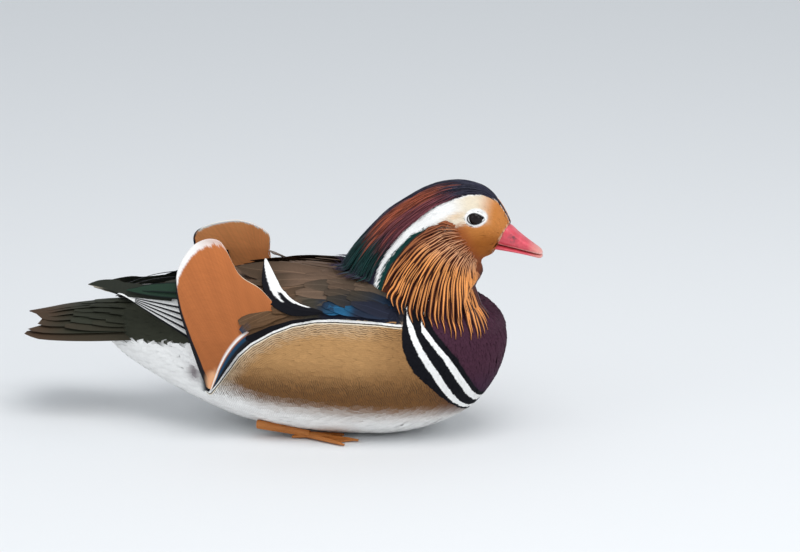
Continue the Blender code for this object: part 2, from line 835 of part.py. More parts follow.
def toe_shape(side, length, angle):
    turn = math.radians(angle)
    ahead = Vector((math.cos(turn), side * math.sin(turn), 0))
    across = Vector((-ahead.y, ahead.x, 0))
    ball = Vector((FOOT_ROOT[0] - 2, side * FOOT_ROOT[1], 0))
    rings = []
    for i in range(6):
        f = i / 5
        knuckle = 0.35 * math.sin(f * 3 * math.pi) ** 2
        wide = 2.5 - 1.5 * f + knuckle
        high = 4.6 - 2.9 * f + knuckle
        middle = ball + ahead * length * f
        ring = []
        for j in range(6):
            a = 2 * math.pi * (j + 0.5) / 6
            lift = high / 2 + high / 2 * math.sin(a)
            ring.append(middle + across * wide * math.cos(a) + Vector((0, 0, lift)))
        rings.append(ring)
    return loft(rings)


def web_shape(side):
    """The skin between the toes, scalloped in front."""
    grid = []
    fans = 9
    for k in range(fans):
        share = k / (fans - 1) * 2
        i = min(int(share), 1)
        f = share - i
        length = TOES[i][0] * (1 - f) + TOES[i + 1][0] * f
        angle = math.radians(TOES[i][1] * (1 - f) + TOES[i + 1][1] * f)
        length *= 0.93 - 0.16 * math.sin(math.pi * f)
        line = []
        for j in range(4):
            reach = length * (0.12 + 0.88 * j / 3)
            x = FOOT_ROOT[0] - 2 + math.cos(angle) * reach
            y = side * (FOOT_ROOT[1] + math.sin(angle) * reach)
            line.append(Vector((x, y, 0.75)))
        grid.append(line)
    return sheet(grid, 1.1)


def clear_scene():
    for obj in list(bpy.data.objects):
        bpy.data.objects.remove(obj)


BUFF = (0.55, 0.33, 0.13)
OLIVE = (0.09, 0.07, 0.045)
ORANGE = (0.55, 0.19, 0.05)
CHESTNUT = (0.42, 0.12, 0.03)
CREAM = (0.75, 0.66, 0.52)
CORAL = (0.62, 0.05, 0.06)
BLACK = (0.008, 0.008, 0.01)
BRONZE = (0.06, 0.055, 0.045)
AMBER = (0.7, 0.28, 0.04)


def nostril(side):
    """A shallow slot in the side of the upper bill."""
    shape = bmesh.new()
    bmesh.ops.create_icosphere(shape, subdivisions=1, radius=1.0)
    bmesh.ops.scale(shape, vec=(2.9, 1.2, 0.95), verts=shape.verts)
    bmesh.ops.rotate(shape, verts=shape.verts, matrix=Matrix.Rotation(math.radians(33), 3, "Y"))
    bmesh.ops.translate(shape, verts=shape.verts, vec=(NOSTRIL[0], side * NOSTRIL[1], NOSTRIL[2]))
    return object_of("nostril", shape)


def tree_of(obj):
    bpy.context.view_layer.update()
    return BVHTree.FromObject(obj, bpy.context.evaluated_depsgraph_get())


def main():
    clear_scene()
    draw = random.Random(SEED)
    torso = object_of("torso", torso_shape(), BUFF)
    head = object_of("head", head_shape(), CREAM)
    neck = object_of("neck", neck_shape(), CHESTNUT)

    upper, lower = bill_shapes()
    bill = object_of("bill_upper", upper, CORAL, 0.35)
    for side in SIDES.values():
        cut_out(bill, nostril(side))
    object_of("bill_lower", lower, CORAL, 0.35)

    body = tree_of(torso)
    fuse(torso, under_tail(draw))
    for name, side in SIDES.items():
        foot = object_of("leg_" + name, foot_shape(side), AMBER)
        pieces = [object_of("web", web_shape(side))]
        pieces += [object_of("toe", toe_shape(side, *toe)) for toe in TOES]
        fuse(foot, pieces)
        clear_of(torso, foot)

    tail = object_of("tail", tail_core(), BRONZE)
    fuse(tail, tail_feathers(draw))
    clear_of(tail, torso)

    wings = {}
    for name, side in SIDES.items():
        wing = object_of("wing_" + name, wing_shape(side), OLIVE)
        fuse(wing, shoulder_feathers(side, draw) + primaries(side) + [crescent(name, side)])
        wings[name] = wing

    fuse(neck, [f for side in SIDES.values() for f in hackles(side, body, draw)])
    clear_of(neck, torso)

    side_y = head_surface_y(tree_of(head), EYE_X, EYE_Z)
    additions = crest(body, draw)
    eyes = []
    for name, side in SIDES.items():
        eyes.append(object_of("eye_" + name, eye_shape(side * (side_y - 2.9)), BLACK, 0.08))
        additions.append(object_of("lid", lid_shape(side * (side_y - 0.3), side)))
    fuse(head, additions)
    clear_of(head, neck)
    clear_of(head, *eyes)

    for name, side in SIDES.items():
        wing = wings[name]
        sail = object_of("sail_" + name, sail_shape(name, side), ORANGE)
        clear_of(sail, torso)
        clear_of(wing, torso, neck, head)
        clear_of(wing, sail, by=0.6)


main()
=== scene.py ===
# %% [markdown]
# A mandarin drake at rest on its belly, life size. A duck's looks are almost all feathers: the
# body under them is one smooth, soft shape. So the model is made as a taxidermist would: first
# one skin, then feathers laid on it in their real order, small ones by thousands and the big
# flight feathers one by one. Lengths are in millimetres until a mesh is made.

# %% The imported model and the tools
import math

import bmesh
import bpy
import numpy as np
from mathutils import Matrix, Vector
from mathutils.bvhtree import BVHTree
from mathutils.kdtree import KDTree


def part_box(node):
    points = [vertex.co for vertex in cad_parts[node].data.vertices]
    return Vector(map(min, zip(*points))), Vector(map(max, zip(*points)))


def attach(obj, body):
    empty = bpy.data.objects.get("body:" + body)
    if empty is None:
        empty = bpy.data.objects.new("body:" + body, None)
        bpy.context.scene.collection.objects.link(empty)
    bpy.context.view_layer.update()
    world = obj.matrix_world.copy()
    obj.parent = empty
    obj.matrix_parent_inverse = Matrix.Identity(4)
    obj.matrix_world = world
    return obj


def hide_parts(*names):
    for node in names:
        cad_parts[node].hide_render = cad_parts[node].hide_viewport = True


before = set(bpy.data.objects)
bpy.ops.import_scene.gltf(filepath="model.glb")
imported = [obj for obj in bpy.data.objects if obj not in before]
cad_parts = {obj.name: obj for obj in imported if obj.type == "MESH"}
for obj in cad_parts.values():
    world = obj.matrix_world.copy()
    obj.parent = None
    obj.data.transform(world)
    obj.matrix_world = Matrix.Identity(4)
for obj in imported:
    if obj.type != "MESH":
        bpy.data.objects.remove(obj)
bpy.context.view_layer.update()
scene = bpy.context.scene
MM = 0.001
SIDES = {"right": -1.0, "left": 1.0}
draw = np.random.default_rng(7)
print("nodes", sorted(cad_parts))

# %% [markdown]
# The camera stands where a person on the bank would: a long lens, a little ahead of the bird's
# right side and a little above it. A long lens keeps the far side nearly as large as the near one.

# %% Camera
CAMERA_TURN = math.radians(12)
CAMERA_RISE = math.radians(14)
CAMERA_REACH = 3.2
LOOKS_AT = Vector((0.0872, 0.0, 0.1126))
lens = bpy.data.cameras.new("camera")
lens.lens = 200
lens.sensor_width = 36
lens.clip_end = 20
camera = bpy.data.objects.new("camera", lens)
back = Vector((
    math.sin(CAMERA_TURN) * math.cos(CAMERA_RISE),
    -math.cos(CAMERA_TURN) * math.cos(CAMERA_RISE),
    math.sin(CAMERA_RISE),
))
camera.location = LOOKS_AT + back * CAMERA_REACH
camera.rotation_mode = "QUATERNION"
camera.rotation_quaternion = back.to_track_quat("Z", "Y")
scene.collection.objects.link(camera)
bpy.context.scene.camera = camera
print("camera at", tuple(round(c, 3) for c in camera.location))

# %% [markdown]
# The day in the photo is bright and overcast: light comes from the whole sky, a little stronger
# from above and ahead. Three wide lamps and a pale world give that, over a pale floor.

# %% Light and floor
scene.view_settings.view_transform = "Standard"
scene.view_settings.look = "None"
world = bpy.data.worlds.new("sky")
scene.world = world
world.use_nodes = True
sky = world.node_tree.nodes["Background"]
sky.inputs["Color"].default_value = (0.90, 0.95, 1.0, 1)
sky.inputs["Strength"].default_value = 0.66


def lamp(name, place, size, power):
    light = bpy.data.lights.new(name, "AREA")
    light.size = size
    light.energy = power
    holder = bpy.data.objects.new(name, light)
    holder.location = place
    holder.rotation_mode = "QUATERNION"
    holder.rotation_quaternion = (Vector(place) - LOOKS_AT).to_track_quat("Z", "Y")
    scene.collection.objects.link(holder)


lamp("sky_above", (0.5, -0.7, 1.9), 1.4, 22)
lamp("sky_ahead", (1.8, -1.2, 0.9), 1.2, 7)
lamp("sky_behind", (-1.5, -1.6, 1.0), 1.4, 5)

FLOOR_REACH = 6
FLOOR_DROP = 0.0005
floor_shape = bmesh.new()
bmesh.ops.create_grid(floor_shape, x_segments=2, y_segments=2, size=FLOOR_REACH)
bmesh.ops.translate(floor_shape, verts=floor_shape.verts, vec=(0, 0, -FLOOR_DROP))
floor_mesh = bpy.data.meshes.new("floor")
floor_shape.to_mesh(floor_mesh)
floor_shape.free()
floor = bpy.data.objects.new("floor", floor_mesh)
scene.collection.objects.link(floor)
paper = bpy.data.materials.new("paper")
paper.use_nodes = True
matt = paper.node_tree.nodes["Principled BSDF"]
matt.inputs["Base Color"].default_value = (0.80, 0.81, 0.82, 1)
matt.inputs["Roughness"].default_value = 0.9
floor_mesh.materials.append(paper)
print("lamps and floor ready")

# %% [markdown]
# The bird's own shape comes from two rows of sections, the same that the solids have. TORSO runs
# from the tail to the breast. BELL runs from the bill over the head and down the neck, and its
# sections lean, so that a place on the head or neck is named by a row and an angle: 0 along the
# back of the neck, 180 degrees down the throat. Feathers and markings both use those names.

# %% Sections of the body
TORSO = [
    (-136, 77, 62, 69, 8),
    (-118, 83, 46, 64, 21),
    (-90, 92, 31, 60, 37),
    (-60, 101, 18, 57, 51),
    (-30, 108, 7, 55, 62),
    (0, 112, 1, 54, 69),
    (30, 114, -1.6, 54, 72),
    (60, 114, -1.6, 56, 71),
    (90, 112, 0, 59, 67),
    (118, 108, 8, 63, 59),
    (140, 101, 20, 67, 47),
    (154, 93, 36, 70, 32),
    (161.5, 84, 52, 70, 18),
    (165, 74, 66, 70, 4),
]
BELL = [
    (168.5, 155.5, 166.5, 141.5, 7.2),
    (164, 164.5, 163, 138, 10.5),
    (157, 174, 159.5, 135, 15),
    (147, 180.4, 154.5, 132.5, 19.5),
    (134, 182.2, 149.5, 130.5, 22),
    (120.4, 179.4, 147, 128.3, 23.5),
    (107.2, 173.4, 146, 126, 25),
    (94.8, 164.6, 146, 123, 26.5),
    (82.3, 155.2, 147, 119, 28.5),
    (70.6, 142.8, 149.5, 114, 31),
    (60.2, 130.2, 153, 108, 34.5),
    (52.6, 118, 157.5, 99.5, 39.5),
    (49, 105, 161.5, 90, 45),
    (56, 93, 162, 79, 46),
]
LAST_ROW = 13
BODY_OVAL = 0.88
NECK_OVAL = 0.94
BILL_LINE = ((163.0, 0, 147.0), (0.867, 0, -0.497))
FLANK_TOP = [
    (-80, 84), (-66, 68), (-44, 50), (-32, 58), (-18, 70), (0, 82),
    (24, 93), (50, 98), (75, 97), (100, 92),
]
print(len(TORSO), "body sections and", len(BELL), "head and neck sections")


# %% Reading the tables
def along(table, t):
    """Rows between the rows of a table, on a smooth curve through them; t counts rows."""
    rows = np.asarray(table, float)
    last = len(rows) - 1
    t = np.clip(np.asarray(t, float), 0, last)
    i = np.minimum(t.astype(int), last - 1)
    f = (t - i)[..., None]
    before, start, end, after = (rows[np.clip(i + k, 0, last)] for k in (-1, 0, 1, 2))
    out = (2 * f**3 - 3 * f**2 + 1) * start + (3 * f**2 - 2 * f**3) * end
    return out + (f**3 - 2 * f**2 + f) * (end - before) / 2 + (f**3 - f**2) * (after - start) / 2


def level(table, key):
    """The value beside key in a two-column table, straight between its rows."""
    rows = np.asarray(sorted(table), float)
    return np.interp(key, rows[:, 0], rows[:, 1])


def smooth(low, high, x):
    """0 below low, 1 above high and an even rise between."""
    t = np.clip((x - low) / (high - low), 0, 1)
    return t * t * (3 - 2 * t)


def unit(v):
    return v / np.maximum(np.linalg.norm(v, axis=-1, keepdims=True), 1e-9)


def power_of(x, power):
    return np.sign(x) * np.abs(x) ** power


print("smooth(0, 1, 0.5) is", smooth(0, 1, 0.5))


# %% Places on the head, neck and body
def bell_point(row, turn):
    """A point on the head or neck. turn is the angle from the back, below zero on the right side."""
    row, turn = np.broadcast_arrays(np.asarray(row, float), np.asarray(turn, float))
    back_x, back_z, front_x, front_z, half = np.moveaxis(along(BELL, row), -1, 0)
    c = power_of(np.cos(turn), NECK_OVAL)
    s = power_of(np.sin(turn), NECK_OVAL)
    x = (back_x + front_x) / 2 - (front_x - back_x) / 2 * c
    z = (back_z + front_z) / 2 - (front_z - back_z) / 2 * c
    return np.stack([x, half * s, z], -1)


def down_bell(row, turn, step):
    """From just above a place on the head or neck to just below it."""
    return bell_point(np.minimum(row + step, LAST_ROW), turn) - bell_point(np.maximum(row - step, 0), turn)


def bell_normal(row, turn, step=0.03):
    round_it = bell_point(row, turn + step) - bell_point(row, turn - step)
    normal = unit(np.cross(down_bell(row, turn, step), round_it))
    outward = bell_point(row, turn) - bell_point(row, turn + math.pi)
    return normal * np.where((normal * outward).sum(-1) < 0, -1.0, 1.0)[..., None]


FINE_TORSO = along(TORSO, np.linspace(0, len(TORSO) - 1, 1301))


def section_at(x):
    """Top, bottom, height of the widest level and half width of the body at x."""
    return [np.interp(x, FINE_TORSO[:, 0], FINE_TORSO[:, k]) for k in range(1, 5)]


def torso_point(x, angle, side, lift=0.0):
    """A point on the body at x, an angle down from its top on one side, raised by lift."""
    top, bottom, wide, half = section_at(x)
    c, s = np.cos(angle), np.sin(angle)
    reach = np.where(c > 0, top - wide, wide - bottom)
    y = half * power_of(s, BODY_OVAL)
    z = wide + reach * power_of(c, BODY_OVAL)
    out = unit(np.stack([0 * y, y / half**2, (z - wide) / reach**2], -1))
    point = np.stack([x + 0 * y, y, z], -1) + out * np.asarray(lift)[..., None]
    point[..., 1] *= side
    return point


print("crown at", bell_point(4, 0.0).round(1), "mm")


# %% The folded wing lies over the upper half of the body
WING_REAR = -78
WING_FRONT = 98
# The wing's upper edge: the x where it bends, its angle on the body up to there, and how much the
# angle grows from there to the wing's front
WING_TOP = (40, 0.16, 0.30)


def wing_swell(x, share):
    """How far the folded wing stands over the body, at a share of the way from back to flank."""
    along_wing = np.clip((x - WING_REAR) / (WING_FRONT - WING_REAR), 0.03, 0.97)
    ends = np.sin(np.pi * along_wing) ** 0.5
    return 0.9 + 4.0 * np.sin(np.pi * np.clip(share, 0.06, 0.94)) ** 0.5 * ends


def angle_at(x, z):
    """The angle down from the top at which the body's side has a height."""
    top, _, wide, _ = section_at(x)
    return np.arccos(power_of(np.clip((z - wide) / (top - wide), -0.98, 1.0), 1 / BODY_OVAL))


def wing_span(x):
    """Angles on the body at which the folded wing begins and ends."""
    bend, start, more = WING_TOP
    opened = np.where(x < bend, start, start + more * (x - bend) / (WING_FRONT - bend))
    return opened, angle_at(x, level(FLANK_TOP, x) - 3)


def wing_point(x, share, side, lift=0.0):
    """A point over the folded wing: share goes from the back, 0, to the flank's edge, 1."""
    x, share, lift = np.broadcast_arrays(*(np.asarray(v, float) for v in (x, share, lift)))
    start, end = wing_span(x)
    return torso_point(x, start + (end - start) * share, side, lift)


def share_at(x, z):
    """The share over the folded wing at which it has a height."""
    start, end = wing_span(x)
    return (angle_at(x, z) - start) / (end - start)


print("wing edge at x = 0:", wing_point(0, 1.0, -1).round(1), "mm")

# %% [markdown]
# The skin is one closed surface, with no seam where the neck meets the body. Body, neck, wings and
# tail root are made as tubes through their sections, then a voxel remesh melts them into one
# and a little smoothing rounds the creases, as flesh and down do. It lies inside the feathers'
# outline by the depth of the coat.

# %% Skin
VOXEL = 1.5
COAT_DEPTH = 1.1
TUBE_RINGS = 40
TUBE_POINTS = 40
BELLY_LEVEL = 0.8


def tube(rings, endless=False):
    """A closed tube through rings of as many points each. An endless one closes on itself."""
    shape = bmesh.new()
    loops = []
    for ring in rings:
        made = [shape.verts.new(p) for p in ring]
        loops.append([shape.edges.new(pair) for pair in zip(made, made[1:] + made[:1])])
    for low, high in zip(loops, loops[1:] + loops[:endless]):
        bmesh.ops.bridge_loops(shape, edges=low + high)
    if not endless:
        for end in (loops[0], loops[-1]):
            bmesh.ops.contextual_create(shape, geom=end)
    bmesh.ops.recalc_face_normals(shape, faces=shape.faces)
    return shape


def cut_at_bill(shape, forward, **cleared):
    """Cuts a shape along the end of the face feathers, or forward of it, and closes the cut."""
    point, normal = Vector(BILL_LINE[0]), Vector(BILL_LINE[1])
    cut = bmesh.ops.bisect_plane(
        shape, geom=shape.verts[:] + shape.edges[:] + shape.faces[:],
        plane_co=point + normal * forward, plane_no=normal, **cleared,
    )
    rim = [g for g in cut["geom_cut"] if isinstance(g, bmesh.types.BMEdge)]
    bmesh.ops.contextual_create(shape, geom=rim)


def object_from(name, shape):
    """Makes the object of a shape that is in millimetres."""
    bmesh.ops.scale(shape, vec=(MM, MM, MM), verts=shape.verts)
    mesh = bpy.data.meshes.new(name)
    shape.to_mesh(mesh)
    shape.free()
    made = bpy.data.objects.new(name, mesh)
    scene.collection.objects.link(made)
    return made


def keep_modifiers(obj):
    """Turns the modifiers' result into the object's own mesh."""
    bpy.context.view_layer.update()
    graph = bpy.context.evaluated_depsgraph_get()
    mesh = bpy.data.meshes.new_from_object(obj.evaluated_get(graph))
    obj.modifiers.clear()
    obj.data = mesh


def smooth_shaded(obj):
    obj.data.polygons.foreach_set("use_smooth", np.ones(len(obj.data.polygons), bool))


def torso_tube():
    turns = np.linspace(0, 2 * np.pi, TUBE_POINTS, endpoint=False)
    rings = []
    for row in along(TORSO, np.linspace(0, len(TORSO) - 1, TUBE_RINGS)):
        ring = torso_point(np.full(TUBE_POINTS, row[0]), turns, 1)
        ring[:, 2] = np.maximum(ring[:, 2], BELLY_LEVEL)
        rings.append(ring)
    return tube(rings)


def neck_tube():
    turns = np.linspace(-np.pi, np.pi, TUBE_POINTS, endpoint=False)
    shape = tube([bell_point(row, turns) for row in np.linspace(0, LAST_ROW, TUBE_RINGS)])
    cut_at_bill(shape, 0, clear_outer=True)
    return shape


def wing_tube(side):
    shares = np.linspace(0, 1, 12)
    rings = []
    for x in np.linspace(WING_REAR, WING_FRONT, 24):
        outer = wing_point(x, shares, side, wing_swell(x, shares))
        rings.append(np.concatenate([outer, wing_point(x, shares, side, -4.0)[::-1]]))
    return tube(rings)


def melted(name, tubes, voxel, smoothing):
    """One smooth surface round several tubes."""
    whole = bmesh.new()
    for shape in tubes:
        part = bpy.data.meshes.new("part")
        shape.to_mesh(part)
        shape.free()
        whole.from_mesh(part)
        bpy.data.meshes.remove(part)
    made = object_from(name, whole)
    melt = made.modifiers.new("melt", "REMESH")
    melt.mode = "VOXEL"
    melt.voxel_size = voxel * MM
    soften = made.modifiers.new("soften", "SMOOTH")
    soften.iterations = smoothing
    keep_modifiers(made)
    return made


skin = melted("skin", [torso_tube(), neck_tube(), wing_tube(-1), wing_tube(1)], VOXEL, 6)
bare_body = melted("bare_body", [torso_tube()], 3.0, 2)
print("skin has", len(skin.data.polygons), "faces")

# %% [markdown]
# Every feather here is a closed blade: a path that lies along the bird, a half width at each
# station of the path and a low ridge where the shaft is. Thousands of them are one mesh, made
# from arrays at once, which is far quicker than an object for each.

# %% Nearest places on a surface
def read(items, key, width=1):
    values = np.empty(len(items) * width, np.float32 if width > 1 else np.int32)
    items.foreach_get(key, values)
    return values.reshape(-1, width) if width > 1 else values


class Surface:
    """Finds the place on an object's surface that lies nearest to a point."""

    def __init__(self, obj):
        bpy.context.view_layer.update()
        self.tree = BVHTree.FromObject(obj, bpy.context.evaluated_depsgraph_get())
        self.corners = read(obj.data.loops, "vertex_index")
        starts = read(obj.data.polygons, "loop_start")
        self.points = read(obj.data.vertices, "co", 3) / MM
        normals = read(obj.data.vertices, "normal", 3)
        self.normals = unit(np.add.reduceat(normals[self.corners], starts))
        self.centres = np.add.reduceat(self.points[self.corners], starts)
        sides = np.diff(np.append(starts, len(self.corners)))
        self.centres /= sides[:, None]
        area = np.empty(len(starts), np.float32)
        obj.data.polygons.foreach_get("area", area)
        self.area = area / MM**2

    def nearest(self, points):
        places = [self.tree.find_nearest(p) for p in (points * MM).reshape(-1, 3).tolist()]
        on = np.array([p[0] for p in places]) / MM
        facing = self.normals[[p[2] for p in places]]
        return on.reshape(points.shape), facing.reshape(points.shape)


hide = Surface(skin)
body = Surface(bare_body)
bpy.data.objects.remove(bare_body)
print("skin area", round(float(hide.area.sum())), "square mm")

# %% Rows and angles of places near the head and neck
GRID_ROWS = np.linspace(0, LAST_ROW, 261)
GRID_TURNS = np.radians(np.arange(0, 181, 1.5))
grid = bell_point(GRID_ROWS[:, None], GRID_TURNS).reshape(-1, 3)
grid_tree = KDTree(len(grid))
for i, place in enumerate(grid.tolist()):
    grid_tree.insert(place, i)
grid_tree.balance()


def bell_place(points):
    """Row, angle in degrees from the back, and distance from the head and neck's surface."""
    both = np.array(points, float)
    both[:, 1] = np.abs(both[:, 1])
    found = [grid_tree.find(p) for p in both.tolist()]
    i = np.array([f[1] for f in found])
    row = GRID_ROWS[i // len(GRID_TURNS)]
    turn = np.degrees(GRID_TURNS[i % len(GRID_TURNS)])
    return row, turn, np.array([f[2] for f in found])


print("row and angle of the eye:", [v.round(1) for v in bell_place(np.array([[146, 22, 163.6]]))])

# %% Blades from arrays
STRAND = ((-1, 0), (0, 1), (1, 0))
VANE = ((-1, 0), (-0.5, 0.55), (-0.07, 0.8), (0, 1.15), (0.07, 0.8), (0.5, 0.55), (1, 0))
TUFT_PATCH = 0.003
# On the unrolled skin: the middles of body and neck, their width, and the first height and the whole
BODY_MIDDLE, BELL_MIDDLE, MAP_WIDE = 0.25, 0.75, 0.46
MAP_FOOT, MAP_TALL = 0.02, 0.96
BODY_REACH = 200
FLOOR_GAP = 0.05
# How strongly feathers are pressed in where they stand wider than the body, and from where to where
PRESS, PRESS_FROM, PRESS_TO = 0.013, 60, 72
# The Vane map's length of a millimetre
VANE_SCALE = 0.01


def laid_flat(points):
    """Places on the skin, unrolled: body on the left of the map, head and neck on the right."""
    row, turn, off = bell_place(points)
    x, y, z = points.T
    round_body = np.arctan2(y, z - section_at(x)[2]) / (2 * np.pi)
    up_body = (x + BODY_REACH) / (2 * BODY_REACH)
    on_body = np.stack([BODY_MIDDLE + MAP_WIDE * round_body, MAP_FOOT + MAP_TALL * up_body], -1)
    across = BELL_MIDDLE + MAP_WIDE * np.sign(y) * turn / 360
    on_bell = np.stack([across, MAP_FOOT + MAP_TALL * row / LAST_ROW], -1)
    return np.where((off < 7)[:, None], on_bell, on_body)


def blade_mesh(name, points):
    """Joins rings of points, by feather and station, to closed blades in one mesh."""
    count, stations, sides = points.shape[:3]
    corner = np.arange(count * stations * sides).reshape(count, stations, sides)
    beside = np.roll(corner, -1, axis=2)
    quads = np.stack([corner[:, :-1], corner[:, 1:], beside[:, 1:], beside[:, :-1]], -1).reshape(-1, 4)
    caps = np.concatenate([corner[:, 0], corner[:, -1, ::-1]])
    corners = np.concatenate([quads.ravel(), caps.ravel()])
    cap_starts = quads.size + np.arange(len(caps)) * sides
    starts = np.concatenate([np.arange(len(quads)) * 4, cap_starts])

    mesh = bpy.data.meshes.new(name)
    mesh.vertices.add(points.size // 3)
    mesh.vertices.foreach_set("co", (points * MM).ravel().astype(np.float32))
    mesh.loops.add(len(corners))
    mesh.loops.foreach_set("vertex_index", corners.astype(np.int32))
    mesh.polygons.add(len(starts))
    mesh.polygons.foreach_set("loop_start", starts.astype(np.int32))
    top = np.tile(np.arange(sides) < sides - 1, count * (stations - 1))
    mesh.polygons.foreach_set("use_smooth", np.concatenate([top, np.zeros(len(caps), bool)]))
    mesh.update(calc_edges=True)
    print(name, count, "feathers", len(quads) * 2 + len(caps) * (sides - 2), "triangles")
    return mesh, corners


def sharpen(mesh, sides):
    """Keeps the two borders of every blade sharp."""
    ends = np.empty(len(mesh.edges) * 2, np.int32)
    mesh.edges.foreach_get("vertices", ends)
    ends = ends.reshape(-1, 2) % sides
    border = (ends[:, 0] == ends[:, 1]) & ((ends[:, 0] == 0) | (ends[:, 0] == sides - 1))
    mesh.attributes.new("sharp_edge", "BOOLEAN", "EDGE").data.foreach_set("value", border)


def store_plumage(mesh, colours):
    """Stores a colour for each point of a mesh, for its material to read."""
    rgba = np.concatenate([colours, np.ones(colours.shape[:-1] + (1,))], -1)
    layer = mesh.color_attributes.new(name="Plumage", type="FLOAT_COLOR", domain="POINT")
    layer.data.foreach_set("color", rgba.ravel().astype(np.float32))


def feathers(name, path, normals, half, crown, colours, section=STRAND, round_edges=False):
    """One mesh of many blades. path and normals are by feather and station, as are the sizes."""
    count, stations = half.shape
    across, height = np.array(section, float).T
    aside = unit(np.cross(normals, np.gradient(path, axis=1)))
    reach = half[:, :, None] * across
    points = path[:, :, None] + aside[:, :, None] * reach[..., None]
    points = points + normals[:, :, None] * (crown[:, :, None] * height)[..., None]
    points[..., 2] = np.maximum(points[..., 2], FLOOR_GAP)
    points[..., 1] *= 1 - PRESS * smooth(PRESS_FROM, PRESS_TO, np.abs(points[..., 1]))
    mesh, corners = blade_mesh(name, points)
    if not round_edges:
        sharpen(mesh, len(section))
    colours = colours if colours.ndim == 4 else colours[:, :, None]
    store_plumage(mesh, np.broadcast_to(colours, points.shape))

    length = np.linalg.norm(np.diff(path, axis=1), axis=-1).cumsum(axis=1)
    length = np.concatenate([np.zeros((count, 1)), length], 1)
    down = (draw.uniform(0, 1, (count, 1)) + VANE_SCALE * length)[..., None]
    vane = np.stack([0.5 + VANE_SCALE * reach, np.broadcast_to(down, reach.shape)], -1)
    root = laid_flat(path[:, 0])[:, None, None]
    spot = np.stack(np.broadcast_arrays(across / 2, np.linspace(-0.5, 0.5, stations)[:, None]), -1)
    for title, flat in (("OFBake", root + TUFT_PATCH * spot[None]), ("Vane", vane)):
        layer = mesh.uv_layers.new(name=title)
        layer.data.foreach_set("uv", flat.reshape(-1, 2)[corners].ravel().astype(np.float32))
    made = bpy.data.objects.new(name, mesh)
    scene.collection.objects.link(made)
    return made


# %% Widths, layers and places for feathers
def tapered(f, blunt=0.3, broad=0.5):
    """A feather's width along it, as a share of its widest."""
    narrowing = np.cos(np.pi / 2 * np.clip((f - broad) / (1 - broad), 0, 1))
    return np.where(f < broad, 1.0, blunt + (1 - blunt) * narrowing)


def scattered(spacing, chosen):
    """Places spread evenly over the skin's faces for which chosen is true."""
    faces = np.flatnonzero(chosen)
    share = hide.area[faces] / hide.area[faces].sum()
    wanted = int(hide.area[faces].sum() / spacing**2 * 9)
    picked = draw.choice(faces, wanted, p=share)
    places = hide.centres[picked] + draw.uniform(-0.5, 0.5, (wanted, 3)) * VOXEL
    for shift in (0.0, 0.5):
        cells = np.floor(places / spacing + shift).astype(int)
        _, first = np.unique(cells, axis=0, return_index=True)
        places = places[np.sort(first)]
    return hide.nearest(places)


def laid(places, facing, ahead, length, stations, sink, rise):
    """Paths that follow the skin from their roots, sunk there and raised towards their tips."""
    path, normals = [], []
    for i in range(stations):
        f = i / (stations - 1)
        lift = rise * f - sink * (1 - f)
        path.append(places + facing * np.asarray(lift).reshape(-1, 1))
        normals.append(facing)
        ahead = unit(ahead - facing * (ahead * facing).sum(-1, keepdims=True))
        places, facing = hide.nearest(places + ahead * (length / (stations - 1))[:, None])
    return np.stack(path, 1), np.stack(normals, 1)


def lie_at(places):
    """The way that feathers point: back over the head and neck, down the breast, along the body."""
    row, turn, off = bell_place(places)
    side = np.sign(places[:, 1])
    turn = np.radians(turn) * side
    on_bell = unit(down_bell(row, turn, 0.3))
    x = places[:, 0]
    down = np.interp(x, [95, 130, 160], [0.0, 0.6, 1.0])
    back_on = np.interp(x, [95, 130, 160], [1.0, 0.8, 0.2])
    on_body = unit(np.stack([-back_on, 0 * x, -down], -1))
    weight = smooth(6, 2, off)[:, None]
    return unit(on_bell * weight + on_body * (1 - weight))


print("helpers ready")

# %% [markdown]
# One function holds the bird's markings. The skin and every small feather ask it for their
# colour, so that both always agree. Its edges are read from rows and angles on the head, and from
# heights along the body, so they run on right round the bird and are the same on both sides.

# %% Colours
WHITE = (0.93, 0.925, 0.91)
CREAM = (0.84, 0.74, 0.58)
BUFF_CREAM = (0.76, 0.52, 0.29)
ORANGE = (0.70, 0.275, 0.07)
TAWNY = (0.40, 0.125, 0.02)
RUST = (0.33, 0.085, 0.024)
NAVY = (0.022, 0.022, 0.045)
COPPER = (0.36, 0.085, 0.040)
PLUM = (0.18, 0.048, 0.062)
BOTTLE = (0.003, 0.040, 0.036)
INK = (0.006, 0.006, 0.009)
VIOLET = (0.028, 0.012, 0.040)
MAROON = (0.062, 0.022, 0.040)
# Buffs of the flank, with painted light near its top and painted shade low down
BUFF_TOP = (0.58, 0.43, 0.28)
BUFF = (0.47, 0.26, 0.105)
BUFF_LOW = (0.19, 0.086, 0.029)
OLIVE = (0.110, 0.060, 0.030)
GREEN_OLIVE = (0.034, 0.036, 0.025)
BLUE = (0.006, 0.045, 0.10)
PEACH_HACKLE = (0.80, 0.40, 0.20)
PALE_HACKLE = (0.90, 0.35, 0.09)
DARK_HACKLE = (0.075, 0.018, 0.010)
SAIL = (0.42, 0.130, 0.037)
PEACH = (0.80, 0.42, 0.22)
PAINTED_BLUE_SHEEN = (0.014, 0.15, 0.31)
BROWN = (0.125, 0.078, 0.052)
DARK_GREEN = (0.028, 0.031, 0.024)
MIDNIGHT = (0.012, 0.014, 0.026)
TERTIAL = (0.060, 0.040, 0.024)
TAIL_BROWN = (0.075, 0.045, 0.028)
SPECULUM_GREEN = (0.022, 0.046, 0.030)

